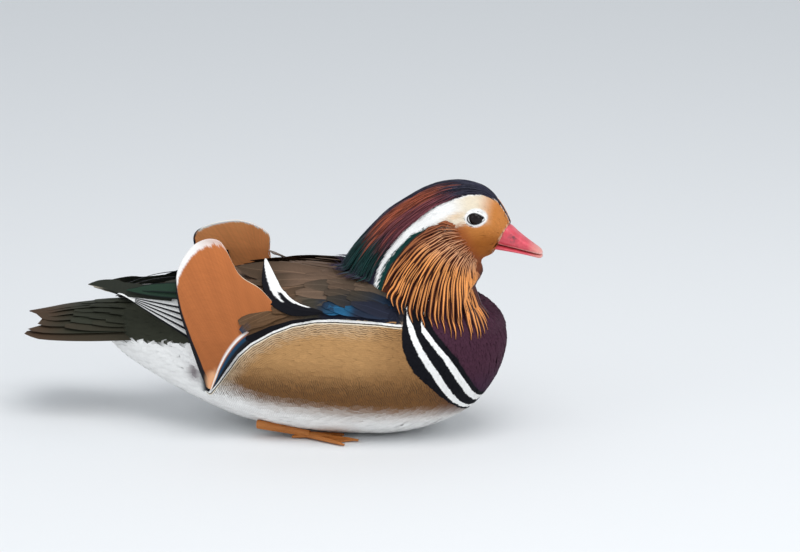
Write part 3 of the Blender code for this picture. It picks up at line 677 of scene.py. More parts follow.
# %% Edges of the markings
# On the head: row, angle
CROWN_EDGE = [
    (0, 14), (0.6, 10), (1.2, 8), (1.6, 9), (1.85, 11), (2.2, 16), (2.7, 23), (3.35, 32), (4.05, 39),
    (4.6, 42), (5.65, 45), (6.85, 47), (7.7, 49), (9, 50), (10, 53), (11.2, 59), (12, 62),
]
BROW_EDGE = [
    (4.15, 84), (4.5, 77.5), (5.05, 74), (5.75, 70.5), (6.45, 67), (7, 63.5), (7.65, 60.5),
    (8.4, 59), (9.4, 57.5), (10.1, 58.5), (10.85, 60), (12, 62),
]
GREEN_EDGE = [(6.3, 67), (7.05, 68.5), (7.65, 67.5), (8.4, 67), (9.2, 66), (10.15, 65.5), (12, 67)]
# On the body: x, z of the flank's upper edge
FLANK_EDGE = [
    (-42, 33), (-33, 44), (-24.7, 55.3), (-18, 64.8), (-8, 74.1), (7.6, 83.4), (22.2, 89.4),
    (38.5, 92.6), (53, 93.4), (66, 93.2), (84, 92.6), (102, 91),
]
# The black border over it: x, width
BORDER_WIDTH = [(-60, 7.5), (-20, 7.0), (0, 4.6), (20, 2.8), (40, 1.6), (50, -0.6)]
# On the side of the breast: z, then x where each stripe of black or white begins, and the maroon
STRIPES = [
    (22, 140, 141, 144.5, 150, 153, 155), (30, 134, 135, 139.5, 146, 150, 152),
    (47, 120, 126.6, 131.6, 139.8, 144.4, 147), (57, 110.5, 121.8, 126.8, 135, 139.8, 143),
    (67, 105, 115.5, 120.8, 129.8, 134.2, 138.5), (78, 101.6, 109.8, 114.2, 121.2, 125.4, 130),
    (86, 100.8, 106, 110.3, 114.6, 118.8, 123), (91, 100.8, 103.6, 107.4, 113.8, 114.0, 119),
    (97, 101, 102.2, 102.5, 113, 113.2, 116),
]


def tinted(colour, other, weight):
    """colour turned towards other by a weight of 0 to 1."""
    return colour + (np.asarray(other) - colour) * np.asarray(weight)[..., None]


def painted(colour, *coats):
    """colour with coats over it in turn, each a colour and the weight that it has at every place."""
    for other, weight in coats:
        colour = tinted(colour, other, weight)
    return colour


def filled(colour, shape):
    """One colour at every place of an array of a shape."""
    return np.broadcast_to(np.array(colour), tuple(shape) + (3,))


def flank_depth(points):
    """How far inside the flank a place lies, from its upper edge. Below zero it lies above that."""
    edge = np.array(FLANK_EDGE, float)
    at = points[:, None, [0, 2]]
    start, run = edge[:-1], np.diff(edge, axis=0)
    share = np.clip(((at - start) * run).sum(-1) / (run * run).sum(-1), 0, 1)
    near = np.linalg.norm(at - (start + share[..., None] * run), axis=-1).min(-1)
    return np.where(points[:, 2] < level(FLANK_EDGE, points[:, 0]), near, -near)


def stripe_place(points):
    """Which stripe of the breast's side a place lies in: 0 black, 1 white, 2 black, 3 white, 4 black."""
    x, z = points[:, 0], points[:, 2]
    edges = np.array(STRIPES, float)
    begins = np.stack([np.interp(z, edges[:, 0], edges[:, k]) for k in range(1, 7)], -1)
    share = np.clip((x[:, None] - begins[:, :-1]) / np.diff(begins, axis=-1), 0, 1).sum(-1)
    share = share + np.minimum(x - begins[:, 0], 0) / 4 + np.maximum(x - begins[:, -1], 0) / 4
    return np.where((z > 106) | (z < 12), -3.0, share)


def mark_places(points):
    """Where places lie among the drawn lines, then how strong lines, upper and lower bars are."""
    x, _, z = points.T
    depth = flank_depth(points)
    stripe = stripe_place(points)
    inside = smooth(-46, -43, x) * smooth(0.4, -0.4, stripe) * smooth(12, 24, z)
    upper = np.maximum(smooth(16, 5, depth), smooth(14, -24, x)) * smooth(44, 58, z)
    lower = smooth(66, 48, z) * (0.45 + 0.55 * smooth(56, 44, z)) * smooth(26, 36, z)
    lines = np.stack([depth, stripe, depth + level(BORDER_WIDTH, x)], -1)
    return lines, np.stack([inside, inside * (0.14 + 0.86 * upper), inside * lower], -1)


BELLY_WHITE = [(-42, 42), (-20, 35), (0, 28), (60, 22), (130, 20)]


def body_marks(points, stray):
    x, _, z = points.T
    z = z + stray
    depth = flank_depth(points)
    stripe = stripe_place(points)
    upper = smooth(0.5, -0.5, depth)
    low_wing = upper * smooth(-26, -12, depth)
    blue = smooth(38, 44, x) * smooth(104, 96, x) * smooth(-16, -9, depth)
    on_side = smooth(13, 24, z + 0.12 * (x - 120))
    # The flank's buff has painted light and shade: paler near its upper edge and darker low down, as the
    # overhead light falls. It is also darker towards the front and white below
    flank = painted(
        filled(BUFF_LOW, x.shape),
        (BUFF, smooth(38, 68, z)),
        (BUFF_TOP, smooth(14, 3, depth) * smooth(100, 60, x) * 0.8),
        (BUFF_LOW, smooth(70, 104, x) * 0.45),
        (WHITE, smooth(12, -8, z - level(BELLY_WHITE, x))),
    )
    return painted(
        filled(WHITE, x.shape),
        (flank, smooth(-1, 0.5, depth) * smooth(-44, -36, x)),
        (BROWN, upper),
        (DARK_GREEN, low_wing * smooth(10, 34, x) * 0.8),
        (OLIVE, low_wing * smooth(34, 10, x)),
        (MIDNIGHT, upper * blue),
        (BLUE, upper * smooth(-9, -14, x) * smooth(-14, -12, depth)),
        (GREEN_OLIVE, upper * smooth(-28, -56, x)),
        (WHITE, smooth(-44, -50, x) * smooth(74.6, 72.6, z - 0.115 * x)),
        (MAROON, np.exp(-(((x + 53) / 5) ** 2) - ((z - 47) / 6) ** 2) * 0.8),
        (INK, smooth(0, 0.3, stripe) * on_side),
        (MAROON, smooth(4.8, 5.3, stripe) * on_side),
        (VIOLET, smooth(110, 150, x) * smooth(60, 30, z) * smooth(16, 26, z) * 0.5),
    )


def head_marks(points, row, turn, stray):
    x, _, z = points.T
    turn = turn + stray * 2.0
    past_crown = turn - level(CROWN_EDGE, row)
    past_brow = turn - level(BROW_EDGE, row)
    past_green = turn - level(GREEN_EDGE, row)
    behind = smooth(4.1, 4.3, row)
    from_eye = np.hypot((x - 145.8 - 1.2 * smooth(146, 138, x)) / 8.3, (z - 162.9) / 6.4)
    from_bill = (points - np.array(BILL_LINE[0])) @ np.array(BILL_LINE[1])
    return painted(
        filled(ORANGE, x.shape),
        (TAWNY, smooth(78, 122, turn)),
        (RUST, smooth(3.4, 5.2, row) * smooth(60, 80, turn)),
        (CREAM, smooth(1.8, 3.4, row - 0.004 * (turn - 50)) * smooth(90, 78, turn)),
        (WHITE, smooth(3.6, 5.0, row) * smooth(84, 60, turn)),
        (BUFF_CREAM, np.exp(-((row - 4.7) / 0.7) ** 2 - ((turn - 71) / 5) ** 2) * 0.7),
        (WHITE, smooth(4.5, 0.5, past_crown) * 0.9),
        (WHITE, smooth(1.12, 0.92, from_eye)),
        (WHITE, behind * smooth(0.5, -0.5, past_brow) * smooth(5.6, 6.4, row)),
        (BOTTLE, behind * smooth(-0.5, 0.5, past_brow) * smooth(6.2, 6.8, row)),
        (RUST, smooth(6.2, 6.6, row) * smooth(-0.5, 0.5, past_green)),
        (DARK_HACKLE, smooth(6, 9, row) * smooth(64, 70, turn)),
        (NAVY, smooth(0.5, -0.5, past_crown)),
        (MAROON, smooth(7.5, 10, row) * smooth(148, 164, turn)),
        (CREAM, smooth(-1.7, -0.9, from_bill) * smooth(1.6, 1.2, row) * smooth(20, 30, turn) * 0.5),
    )


def plumage(points, stray=None):
    """The bird's colour at places on it, in mm. stray moves the edges a little, feather by feather."""
    stray = np.zeros(len(points)) if stray is None else stray
    row, turn, off = bell_place(points)
    on_bell = (off < 4.5) & ((row < 11.3) | (points[:, 2] > 108))
    colour = body_marks(points, stray)
    colour[on_bell] = head_marks(points[on_bell], row[on_bell], turn[on_bell], stray[on_bell])
    return colour


print("colour of the brow", plumage(np.array([[128.0, -22, 166]])).round(2))

# %% [markdown]
# Feathers share their fine structure: barbs that run out slantwise from the shaft and cling in
# little clumps. A node group draws them from the Vane map, which runs across and along each blade
# with its middle on the shaft, and gives a height for the bump and a shade for the colour.

# %% Node helpers
def step(tree, kind, *feeds, **settings):
    """Adds a shader node, feeds its sockets in order (None skips one) and gives its first output."""
    node = tree.nodes.new("ShaderNode" + kind)
    for key, value in settings.items():
        setattr(node, key, value)
    for socket, value in zip(node.inputs, feeds):
        if isinstance(value, bpy.types.NodeSocket):
            tree.links.new(value, socket)
        elif value is not None:
            socket.default_value = value
    return node.outputs[0]


def maths(tree, operation, *feeds):
    return step(tree, "Math", *feeds, operation=operation)


def mixed(tree, factor, first, second, blend="MIX"):
    node = tree.nodes.new("ShaderNodeMix")
    node.data_type = "RGBA"
    node.blend_type = blend
    for socket, value in zip((node.inputs[0], node.inputs[6], node.inputs[7]), (factor, first, second)):
        if isinstance(value, bpy.types.NodeSocket):
            tree.links.new(value, socket)
        else:
            socket.default_value = (*value, 1) if isinstance(value, tuple) else value
    return node.outputs[2]


def new_group(title, inputs, outputs):
    group = bpy.data.node_groups.new(title, "ShaderNodeTree")
    for name, value in inputs.items():
        kind = "Color" if isinstance(value, tuple) else "Float"
        socket = group.interface.new_socket(name, in_out="INPUT", socket_type="NodeSocket" + kind)
        socket.default_value = value
    for name, kind in outputs.items():
        group.interface.new_socket(name, in_out="OUTPUT", socket_type="NodeSocket" + kind)
    return group, group.nodes.new("NodeGroupInput"), group.nodes.new("NodeGroupOutput")


def times(tree, first, second):
    return maths(tree, "MULTIPLY", first, second)


def noise(tree, where, scale, detail=3.0, rough=0.6):
    return step(tree, "TexNoise", where, None, scale, detail, rough)


def spread(tree, value, low, high, first=0.0, last=1.0):
    """Stretches values between low and high to run from first to last."""
    return step(tree, "MapRange", value, low, high, first, last)


def greyed(tree, colour, shade):
    """A colour made lighter or darker by a shade."""
    return mixed(tree, 1.0, colour, step(tree, "CombineColor", shade, shade, shade), "MULTIPLY")


barbs, fed, given = new_group(
    "Feather barbs", {"Barb width": 0.45, "Slant": 0.7}, {"Height": "Float", "Shade": "Float"},
)
parts = step(barbs, "SeparateXYZ", step(barbs, "UVMap", uv_map="Vane")).node.outputs
side_mm = times(barbs, maths(barbs, "ABSOLUTE", maths(barbs, "SUBTRACT", parts[0], 0.5)), 1 / VANE_SCALE)
along_mm = times(barbs, parts[1], 1 / VANE_SCALE)
slant = maths(barbs, "SUBTRACT", along_mm, times(barbs, side_mm, fed.outputs["Slant"]))
barb = maths(barbs, "DIVIDE", slant, fed.outputs["Barb width"])
clumps = noise(barbs, step(barbs, "CombineXYZ", barb, times(barbs, side_mm, 0.18), 0.0), 1.0, 2.0)
ridge = maths(barbs, "SINE", times(barbs, barb, 2 * math.pi))
height = maths(barbs, "ADD", clumps, times(barbs, ridge, 0.12))
barbs.links.new(height, given.inputs["Height"])
barbs.links.new(spread(barbs, clumps, 0.30, 0.70), given.inputs["Shade"])
print("barbs drawn by", len(barbs.nodes), "nodes")


# %% [markdown]
# Some markings must be sharper than the feathers that carry them: the black and white lines round
# the flank, its fine wavy bars and the stripes on the side of the breast. So each point of the coat
# knows how far it lies from those edges, and a node group draws the lines from that distance,
# which blends evenly over every feather. A little noise frays them as the feather tips do.

# %% Lines of the flank and breast
marks, fed, given = new_group("Flank and breast lines", {"Base": (1.0, 1.0, 1.0, 1.0)}, {"Colour": "Color"})
LINE_BLUR = 0.16
BAR_BROWN = (0.085, 0.050, 0.026)
# Lines along the flank's upper edge: how far from it each begins and ends, in mm, and its colour
FLANK_LINES = ((0.0, 1.6, WHITE), (1.6, 2.3, INK), (2.3, 2.9, CREAM))
# The bars' periods in mm, under the upper edge and low on the flank
UPPER_PERIOD, LOWER_PERIOD = 1.3, 1.45


def rises(tree, value, at, blur=LINE_BLUR):
    return spread(tree, value, at - blur, at + blur)


def band(tree, value, low, high, blur=LINE_BLUR):
    return maths(tree, "SUBTRACT", rises(tree, value, low, blur), rises(tree, value, high, blur))


def frayed(tree, value, where, scale, by):
    stray = maths(tree, "SUBTRACT", noise(tree, where, scale), 0.5)
    return maths(tree, "ADD", value, times(tree, stray, by))


def kept_values(name):
    """The three values that each point of a piece keeps under a name."""
    vector = step(marks, "Attribute", attribute_name=name).node.outputs["Vector"]
    return step(marks, "SeparateXYZ", vector).node.outputs


def wavy(value, scale, by, period):
    """Fine dark bars, one in each period, that waver and are broken here and there."""
    value = frayed(marks, frayed(marks, value, where, scale, by), where, 420.0, 1.0)
    crests = maths(marks, "SINE", times(marks, value, 2 * math.pi / period))
    return times(marks, spread(marks, crests, -0.1, 0.7), gaps)


def projected(tree, where, direction):
    return step(tree, "VectorMath", where, direction, operation="DOT_PRODUCT").node.outputs["Value"]


where = step(marks, "TexCoord").node.outputs["Object"]
depth, stripe, border = kept_values("Lines")
inside, upper_bars, lower_bars = kept_values("Bars")
gaps = spread(marks, noise(marks, where, 260.0, 2.0, 0.5), 0.36, 0.5, 0.4, 1.0)
edge = frayed(marks, depth, where, 400.0, 0.5)
over = times(marks, wavy(depth, 75.0, 6.0, UPPER_PERIOD), upper_bars)
over = times(marks, over, rises(marks, edge, 3.0))
along_body = projected(marks, where, (950.0, 0.0, 330.0))
under = times(marks, wavy(along_body, 90.0, 7.0, LOWER_PERIOD), lower_bars)
bars = times(marks, maths(marks, "MAXIMUM", over, under), 0.85)
shown = mixed(marks, bars, fed.outputs["Base"], BAR_BROWN)
for low, high, shade in FLANK_LINES:
    shown = mixed(marks, times(marks, band(marks, edge, low, high), inside), shown, shade)
above = times(marks, rises(marks, border, 0.0), maths(marks, "SUBTRACT", 1.0, rises(marks, edge, 0.0)))
shown = mixed(marks, times(marks, above, inside), shown, INK)
ragged = frayed(marks, stripe, where, 330.0, 0.34)
for low, shade in enumerate((INK, WHITE, INK, WHITE, INK)):
    shown = mixed(marks, band(marks, ragged, float(low), low + 1.0, 0.05), shown, shade)
marks.links.new(shown, given.inputs["Colour"])
print("groups", [g.name for g in bpy.data.node_groups])


# %% Plumage materials
def plain_material(name, roughness, specular=0.5):
    material = bpy.data.materials.new(name)
    material.use_nodes = True
    shader = material.node_tree.nodes["Principled BSDF"]
    shader.inputs["Roughness"].default_value = roughness
    shader.inputs["Specular IOR Level"].default_value = specular
    return material, material.node_tree, shader


def bumped(tree, shader, height, strength, distance=0.0003):
    """Roughens a surface by a height, without moving its mesh."""
    bump = tree.nodes.new("ShaderNodeBump")
    bump.inputs["Strength"].default_value = strength
    bump.inputs["Distance"].default_value = distance
    tree.links.new(height, bump.inputs["Height"])
    tree.links.new(bump.outputs["Normal"], shader.inputs["Normal"])


def with_lines(tree, colour):
    """Draws the lines of the flank and breast over a colour."""
    lines = tree.nodes.new("ShaderNodeGroup")
    lines.node_tree = marks
    tree.links.new(colour, lines.inputs["Base"])
    return lines.outputs["Colour"]


def plumage_material(name, roughness, specular, barb_width, streaks, relief, sheen=0.0, lined=False):
    """Feathers that show the colour stored in them, with streaks along their barbs."""
    material, tree, shader = plain_material(name, roughness, specular)
    shader.inputs["Sheen Weight"].default_value = sheen
    colour = step(tree, "Attribute", attribute_name="Plumage")
    colour = with_lines(tree, colour) if lined else colour
    fine = tree.nodes.new("ShaderNodeGroup")
    fine.node_tree = barbs
    fine.inputs["Barb width"].default_value = barb_width
    shade = spread(tree, fine.outputs["Shade"], 0.0, 1.0, 1.0 - streaks, 1.0 + streaks * 0.6)
    tree.links.new(greyed(tree, colour, shade), shader.inputs["Base Color"])
    bumped(tree, shader, fine.outputs["Height"], relief)
    return material


soft_plumage = plumage_material("soft_plumage", 0.8, 0.12, 0.5, 0.06, 0.12, sheen=0.05)
body_plumage = plumage_material("body_plumage", 0.8, 0.10, 0.5, 0.06, 0.12, lined=True)
sail_plumage = plumage_material("sail_plumage", 0.65, 0.2, 1.0, 0.06, 0.2)
hair_plumage = plumage_material("hair_plumage", 0.48, 0.3, 0.6, 0.16, 0.2)
vane_plumage = plumage_material("vane_plumage", 0.6, 0.08, 0.8, 0.10, 0.25)


def skin_material():
    material, tree, shader = plain_material("down", 0.85, 0.2)
    colour = with_lines(tree, step(tree, "Attribute", attribute_name="Plumage"))
    fluff = noise(tree, step(tree, "TexCoord").node.outputs["Object"], 900.0)
    shade = spread(tree, fluff, 0.3, 0.7, 0.80, 1.0)
    tree.links.new(greyed(tree, colour, shade), shader.inputs["Base Color"])
    bumped(tree, shader, fluff, 0.4, 0.0004)
    return material


def mark(obj, points):
    """Stores where each point of a piece lies among the lines of the flank and breast."""
    for name, values in zip(("Lines", "Bars"), mark_places(points)):
        kept = obj.data.attributes.new(name, "FLOAT_VECTOR", "POINT")
        kept.data.foreach_set("vector", values.ravel().astype(np.float32))


def settle(obj, material, slot, *nodes):
    """Gives a piece its material, lets it ride on the body and stand for its solids. slot is not used."""
    obj.data.materials.clear()
    obj.data.materials.append(material)
    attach(obj, "root")
    if nodes:
        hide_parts(*nodes)


smooth_shaded(skin)
inner = hide.points - read(skin.data.vertices, "normal", 3) * COAT_DEPTH
store_plumage(skin.data, plumage(hide.points))
mark(skin, hide.points)
skin.data.vertices.foreach_set("co", (inner * MM).ravel().astype(np.float32))
skin.data.update()
settle(skin, skin_material(), "body_feathers", "torso", "neck", "head")
print("materials", [m.name for m in bpy.data.materials])

# %% [markdown]
# The small feathers of the body lie like tiles: each root is sunk and each tip is raised, so that
# a feather always covers the roots of those behind it. They are smallest on the face.

# %% Small feathers
def coat(name, spacing, chosen, length, half, sink, rise, crown, material, slot, stations=4):
    """Lays small feathers over the skin's chosen faces. length may be a function of their places."""
    places, facing = scattered(spacing, chosen)
    count = len(places)
    ahead = lie_at(places)
    turn = unit(np.cross(facing, ahead)) * draw.normal(0, 0.12, (count, 1))
    size = draw.uniform(0.85, 1.15, count)
    reach = size * (length(places) if callable(length) else length)
    raised = draw.uniform(0.7, 1.3, count) * rise
    path, normals = laid(places, facing, unit(ahead + turn), reach, stations, sink, raised)
    f = np.linspace(0, 1, stations)
    width = size[:, None] * half * tapered(f, 0.35, 0.4)
    stray = np.repeat(draw.normal(0, 0.45, count), stations)
    colours = plumage(path.reshape(-1, 3), stray).reshape(count, stations, 3)
    colours = colours * draw.uniform(0.95, 1.04, (count, 1, 1))
    heights = np.broadcast_to(crown * tapered(f, 0.3, 0.3), width.shape)
    made = feathers(name, path, normals, width, heights, colours)
    if material == body_plumage:
        mark(made, read(made.data.vertices, "co", 3) / MM)
    settle(made, material, slot)


row, turn, off = bell_place(hide.centres)
x, _, z = hide.centres.T
depth = flank_depth(hide.centres)
past_crown = turn - level(CROWN_EDGE, row)
from_bill = (hide.centres - np.array(BILL_LINE[0])) @ np.array(BILL_LINE[1])
at_eye = np.hypot((x - 146.4) / 7.2, (z - 162.4) / 5.6) < 1
face = (off < 4) & (row < 6.6) & (past_crown > -4) & (from_bill < -0.4) & ~at_eye
brow = (off < 4) & (row >= 6.4) & (row < 11) & (past_crown > -3) & (turn < 75)
throat = (off < 4) & (row >= 6) & (row < 12.6) & (turn > 146)
trunk = (off > 2.5) | (row > 11)
front_edge = np.interp(z, [r[0] for r in STRIPES], [r[1] for r in STRIPES])
flank = trunk & (depth > -2) & (x < front_edge + 3) & (x > -46) & (z > 24)
breast = trunk & (x > 96) & (z > 14) & (depth < 60) & (x > front_edge - 2)
belly = trunk & ~flank & ~breast & ((z < 40) | ((depth > 0) & (x > -46)) | (x < -46))
upper = trunk & ~flank & ~breast & ~belly


def face_length(places):
    row = bell_place(places)[0]
    return np.interp(row, [0, 2.5, 6.5], [1.8, 2.4, 5.5])


coat("face_feathers", 0.95, face, face_length, 0.42, 0.35, 0.2, 0.1, soft_plumage, "head_feathers")
coat("brow_feathers", 0.95, brow, 11.0, 0.34, 0.4, 0.3, 0.1, soft_plumage, "head_feathers", 6)
coat("throat_feathers", 1.5, throat, 6.0, 0.8, 0.5, 0.5, 0.2, soft_plumage, "hackles", 5)
coat("breast_feathers", 1.8, breast, 6.0, 1.2, 0.5, 0.35, 0.12, body_plumage, "body_feathers", 5)
coat("flank_feathers", 2.9, flank, 13.0, 2.5, 0.3, 0.22, 0.06, body_plumage, "body_feathers", 7)
coat("belly_feathers", 3.2, belly, 11.0, 2.3, 0.4, 0.3, 0.08, body_plumage, "body_feathers", 5)
coat("back_feathers", 3.2, upper, 13.0, 2.8, 0.6, 0.6, 0.15, body_plumage, "body_feathers", 5)

# %% [markdown]
# The crest grows from the forehead back over the nape. It is hair-like: long, narrow silky
# feathers in many layers, navy in front, copper and plum over the side, then bottle green with
# ragged violet tips. Each strand follows its own angle down the rows of the head and neck.

# %% Crest
WING_COVER = 7.9
ROW_STEP = 11.5
# How high the crest's top layer stands over the head and neck: row, height
CREST_TOP = [
    (0.8, -0.6), (1.4, 0.0), (2.1, 0.6), (2.8, 1.4), (3.5, 2.3), (4.3, 3.6),
    (5.2, 5.2), (7, 7.2), (9, 8.0), (11, 8.2), (12.2, 7.4),
]
# The angle from the back that its sides reach: row, angle
CREST_SPREAD = [
    (0.8, 9), (1.6, 12), (2.2, 18), (2.7, 24), (3.4, 33), (4.05, 40), (5, 44), (7, 48), (9, 50), (10, 53),
    (12, 56),
]
CREST_STATIONS = 10
CREST_STRANDS = 1900
# Which way the paths run on from the last row, by default and for the crest
DOWN_BREAST = (0.1, 0.25, -0.96)
DOWN_BACK = (-0.7, 0.15, -0.55)


def rested(path, normals, clear):
    """Lifts paths out of the body, and of the wing over it, and turns their normals to it."""
    near, facing = body.nearest(path)
    over_wing = smooth(6, 12, np.abs(path[..., 1])) * smooth(106, 88, path[..., 0])
    over_wing = over_wing * smooth(-4, 2, near[..., 2] - level(FLANK_TOP, path[..., 0]))
    clear = clear + WING_COVER * over_wing
    low = ((path - near) * facing).sum(-1) < clear
    path = np.where(low[..., None], near + facing * clear[..., None], path)
    return path, np.where(low[..., None], unit(normals * 0.4 + facing), normals)


def between(start, end, f):
    """Values that run evenly from one for each feather to another, along its stations."""
    return start[:, None] + (end - start)[:, None] * f


def bell_paths(ends, turns, stations, lift, clear=0.9, last=LAST_ROW, onward=DOWN_BREAST, least=None):
    """Paths down the rows of the head and neck, angles in degrees, and straight on from the last.

    least gives the smallest angle that a path may have at each row.
    """
    f = np.linspace(0, 1, stations)
    row = between(*ends, f)
    turn = np.radians(between(*turns, f))
    if least is not None:
        turn = np.sign(turn) * np.maximum(np.abs(turn), np.radians(least(row)))
    inside = np.minimum(row, last)
    normals = bell_normal(inside, turn)
    past = ROW_STEP * (row - inside)[..., None] * np.array(onward)
    past[..., 1] *= np.sign(turn)
    path = bell_point(inside, turn) + past + normals * lift(row, turn, f)[..., None]
    settled, facing = rested(path, normals, np.full(path.shape[:-1], clear))
    use = ((f > 0.3) & (row > 8))[..., None]
    return np.where(use, settled, path), np.where(use, facing, normals), row, turn


def crest_colour(row, turn, stray):
    """Colours over the crest: row by row, and from the back to its lower edge."""
    down = np.abs(np.degrees(turn)) / np.maximum(level(CREST_SPREAD, row), 1)
    copper = smooth(4.4, 5.6, row + stray * 0.6) * smooth(9.6, 8.5, row + stray * 0.5)
    copper = copper * smooth(0.18, 0.42, down + stray * 0.08)
    return painted(
        filled(NAVY, row.shape),
        (COPPER, copper * smooth(1.05, 0.62, down + stray * 0.12)),
        (PLUM, copper * smooth(0.58, 0.85, down + stray * 0.12)),
        (BOTTLE, smooth(8.7, 9.9, row + stray * 0.4)),
        (VIOLET, smooth(10.4, 11.8, row + stray * 0.6)),
    )


def crest(count):
    root = draw.uniform(0.9, 10.2, count)
    tip = np.minimum(root + draw.uniform(1.8, 3.8, count), 12.5 - draw.uniform(0, 1.1, count) ** 2)
    share = draw.uniform(-1, 1, count)
    tip = np.maximum(tip - 0.8 * np.abs(share) ** 3 * smooth(9, 12, tip), root + 1.2)
    drift = draw.normal(0, 2.0, count)
    turns = (share * level(CREST_SPREAD, root) * 0.97, share * level(CREST_SPREAD, tip) + drift)
    deep = draw.uniform(0, 1, count)[:, None]

    def lift(row, turn, f):
        side = np.clip(np.abs(share), 0, 1)[:, None] ** 4
        top = level(CREST_TOP, row) * (1 - 0.75 * side) + 0.35 * side
        return top * (1 - 0.45 * deep**2) - 2.6 * (1 - f) ** 2

    path, normals, row, turn = bell_paths(
        (root, tip), turns, CREST_STATIONS, lift, last=11, onward=DOWN_BACK,
    )
    half = tapered(np.linspace(0, 1, CREST_STATIONS), 0.12, 0.45)
    half = draw.uniform(0.42, 0.75, count)[:, None] * half
    colours = crest_colour(row, turn, draw.normal(0, 0.7, count)[:, None])
    colours = colours * draw.uniform(0.6, 1.35, (count, 1, 1))
    return feathers("crest", path, normals, half, half * 0.5, colours, round_edges=True)


settle(crest(CREST_STRANDS), hair_plumage, "head_feathers")

# %% [markdown]
# The hackles are the long pointed feathers that fan from the cheek into a ruff. Each has a bright
# orange stripe along its shaft between dark maroon edges, which is what makes the ruff look
# combed. They lie in five tiers, the uppermost starting as fine pale lines on the cheek.

# %% Hackles
# How many on a side, row of the roots, how many rows short of the ruff's edge the tips stop,
# first and last angle of the roots, half width, height over the neck
HACKLES = [
    (25, 7.9, 0.0, 70, 170, 2.3, 0.6),
    (26, 7.1, 1.0, 70, 167, 2.1, 1.3),
    (28, 6.2, 2.3, 72, 164, 1.7, 1.9),
    (32, 5.3, 4.0, 76, 158, 1.15, 2.2),
    (36, 4.4, 5.9, 82, 152, 0.75, 1.9),
]
# The ruff's lower edge: angle, row
RUFF_EDGE = [
    (60, 11.5), (70, 12.0), (80, 12.6), (100, 13.15), (112, 13.35), (122, 13.25), (140, 13.05),
    (148, 12.85), (154, 12.4), (162, 11.5), (178, 10.5),
]
HACKLE_SECTION = ((-1, 0), (-0.42, 0.35), (-0.28, 0.85), (0, 1.15), (0.28, 0.85), (0.42, 0.35), (1, 0))
HACKLE_STRIPE = np.array([0, 0, 0.75, 1, 0.75, 0, 0])[:, None]
HACKLE_STATIONS = 16
CHEEK_DARK = (0.15, 0.036, 0.014)
# Angles of the first tip and of the last. The far ruff leaves the throat bare beyond an angle
RUFF_TURNS = (63, 162)
FAR_RUFF_END = 114


def ruff_top(row):
    """The angle of the ruff's upper edge, along the brow and then the green stripe behind it."""
    return np.where(row < 6.4, level(BROW_EDGE, row), level(GREEN_EDGE, row)) + 1.5


def hackle_rows(side):
    """Root and tip rows, first and last angles, half width and height of every hackle."""
    rows = []
    for count, root, short, first, last, half, height in HACKLES:
        share = (np.arange(count) + draw.uniform(-0.3, 0.3, count)) / (count - 1)
        inside = np.clip(share, 0, 1)
        end = RUFF_TURNS[0] + (RUFF_TURNS[1] - RUFF_TURNS[0]) * inside
        dip = 1.1 * np.abs(share - 0.6) if root < 5 else 0
        roots = root + dip + draw.uniform(-0.35, 0.35, count)
        tips = level(RUFF_EDGE, end) - short + draw.uniform(-0.35, 0.25, count)
        halves = half * draw.uniform(0.7, 1.2, count)
        rows.append((roots, tips, first + (last - first) * inside, end, halves, np.full(count, height)))
    rows = np.concatenate(rows, axis=1)
    return rows if side < 0 else rows[:, rows[3] < FAR_RUFF_END]


def hackle_colours(row, turn, f):
    """Dark and bright for each hackle's edges and its stripe."""
    count = len(row)
    near_top = smooth(16, 3, turn - ruff_top(row))
    bright = painted(
        filled(RUST, row.shape),
        (PEACH_HACKLE, smooth(4.4, 5.6, row)),
        (PALE_HACKLE, smooth(6.5, 9, row)),
        (RUST, near_top * smooth(11, 8, row) * 0.85),
        (RUST, smooth(0.25, 0.0, f) * np.ones_like(row) * 0.8),
        (MAROON, smooth(154, 162, turn) * smooth(7.6, 9.2, row)),
    )
    bright = bright * draw.uniform(0.68, 1.15, (count, 1, 1))
    dark = painted(
        filled(RUST, row.shape),
        (CHEEK_DARK, smooth(4.6, 6.4, row)),
        (DARK_HACKLE, smooth(6.4, 9.0, row)),
    )
    return dark[:, :, None] * (1 - HACKLE_STRIPE) + bright[:, :, None] * HACKLE_STRIPE


def hackles(name, side):
    roots, tips, starts, ends, halves, lifts = hackle_rows(side)
    lifts = lifts[:, None]
    wave = draw.uniform(0, 6.28, (len(roots), 1))

    def lift(row, turn, f):
        at_throat = np.interp(np.degrees(np.abs(turn)), [110, 140, 162], [1.0, 0.55, 0.0])
        raised = lifts * at_throat * smooth(0, 0.35, f)
        return raised - 0.9 * (1 - f) ** 3 + 0.12 * np.sin(9 * f + wave)

    turns = (starts * side, ends * side)
    path, normals, row, turn = bell_paths((roots, tips), turns, HACKLE_STATIONS, lift, 0.7, least=ruff_top)
    turn = np.degrees(np.abs(turn))
    extra = lifts * 0.8 * smooth(10.5, 12.5, row) * smooth(158, 130, turn)
    path = path + normals * extra[..., None]
    # Over the throat they lie close to the skin
    near, facing = hide.nearest(path)
    close = (smooth(118, 148, turn) * smooth(7.6, 9.4, row))[..., None]
    path = path + (near + facing * 0.6 - path) * close
    normals = unit(normals + (facing - normals) * close)
    f = np.linspace(0, 1, HACKLE_STATIONS)
    across = unit(np.cross(normals, np.gradient(path, axis=1)))
    path = path + across * (0.35 * np.sin(11 * f + wave) * (1 - f))[..., None]
    half = halves[:, None] * np.interp(f, [0, 0.25, 0.6, 0.85, 1], [0.5, 0.85, 1.0, 0.62, 0.1])
    crown = half * (0.42 - 0.2 * close[..., 0])
    colours = hackle_colours(row, turn, f)
    return feathers("hackles_" + name, path, normals, half, crown, colours, HACKLE_SECTION, round_edges=True)


for name, side in SIDES.items():
    settle(hackles(name, side), hair_plumage, "hackles")

# %% [markdown]
# The folded wing is covered by scapulars and coverts in tiers, then the long tertials, and behind
# the sail the primaries stack edge over edge with their white outer webs showing.

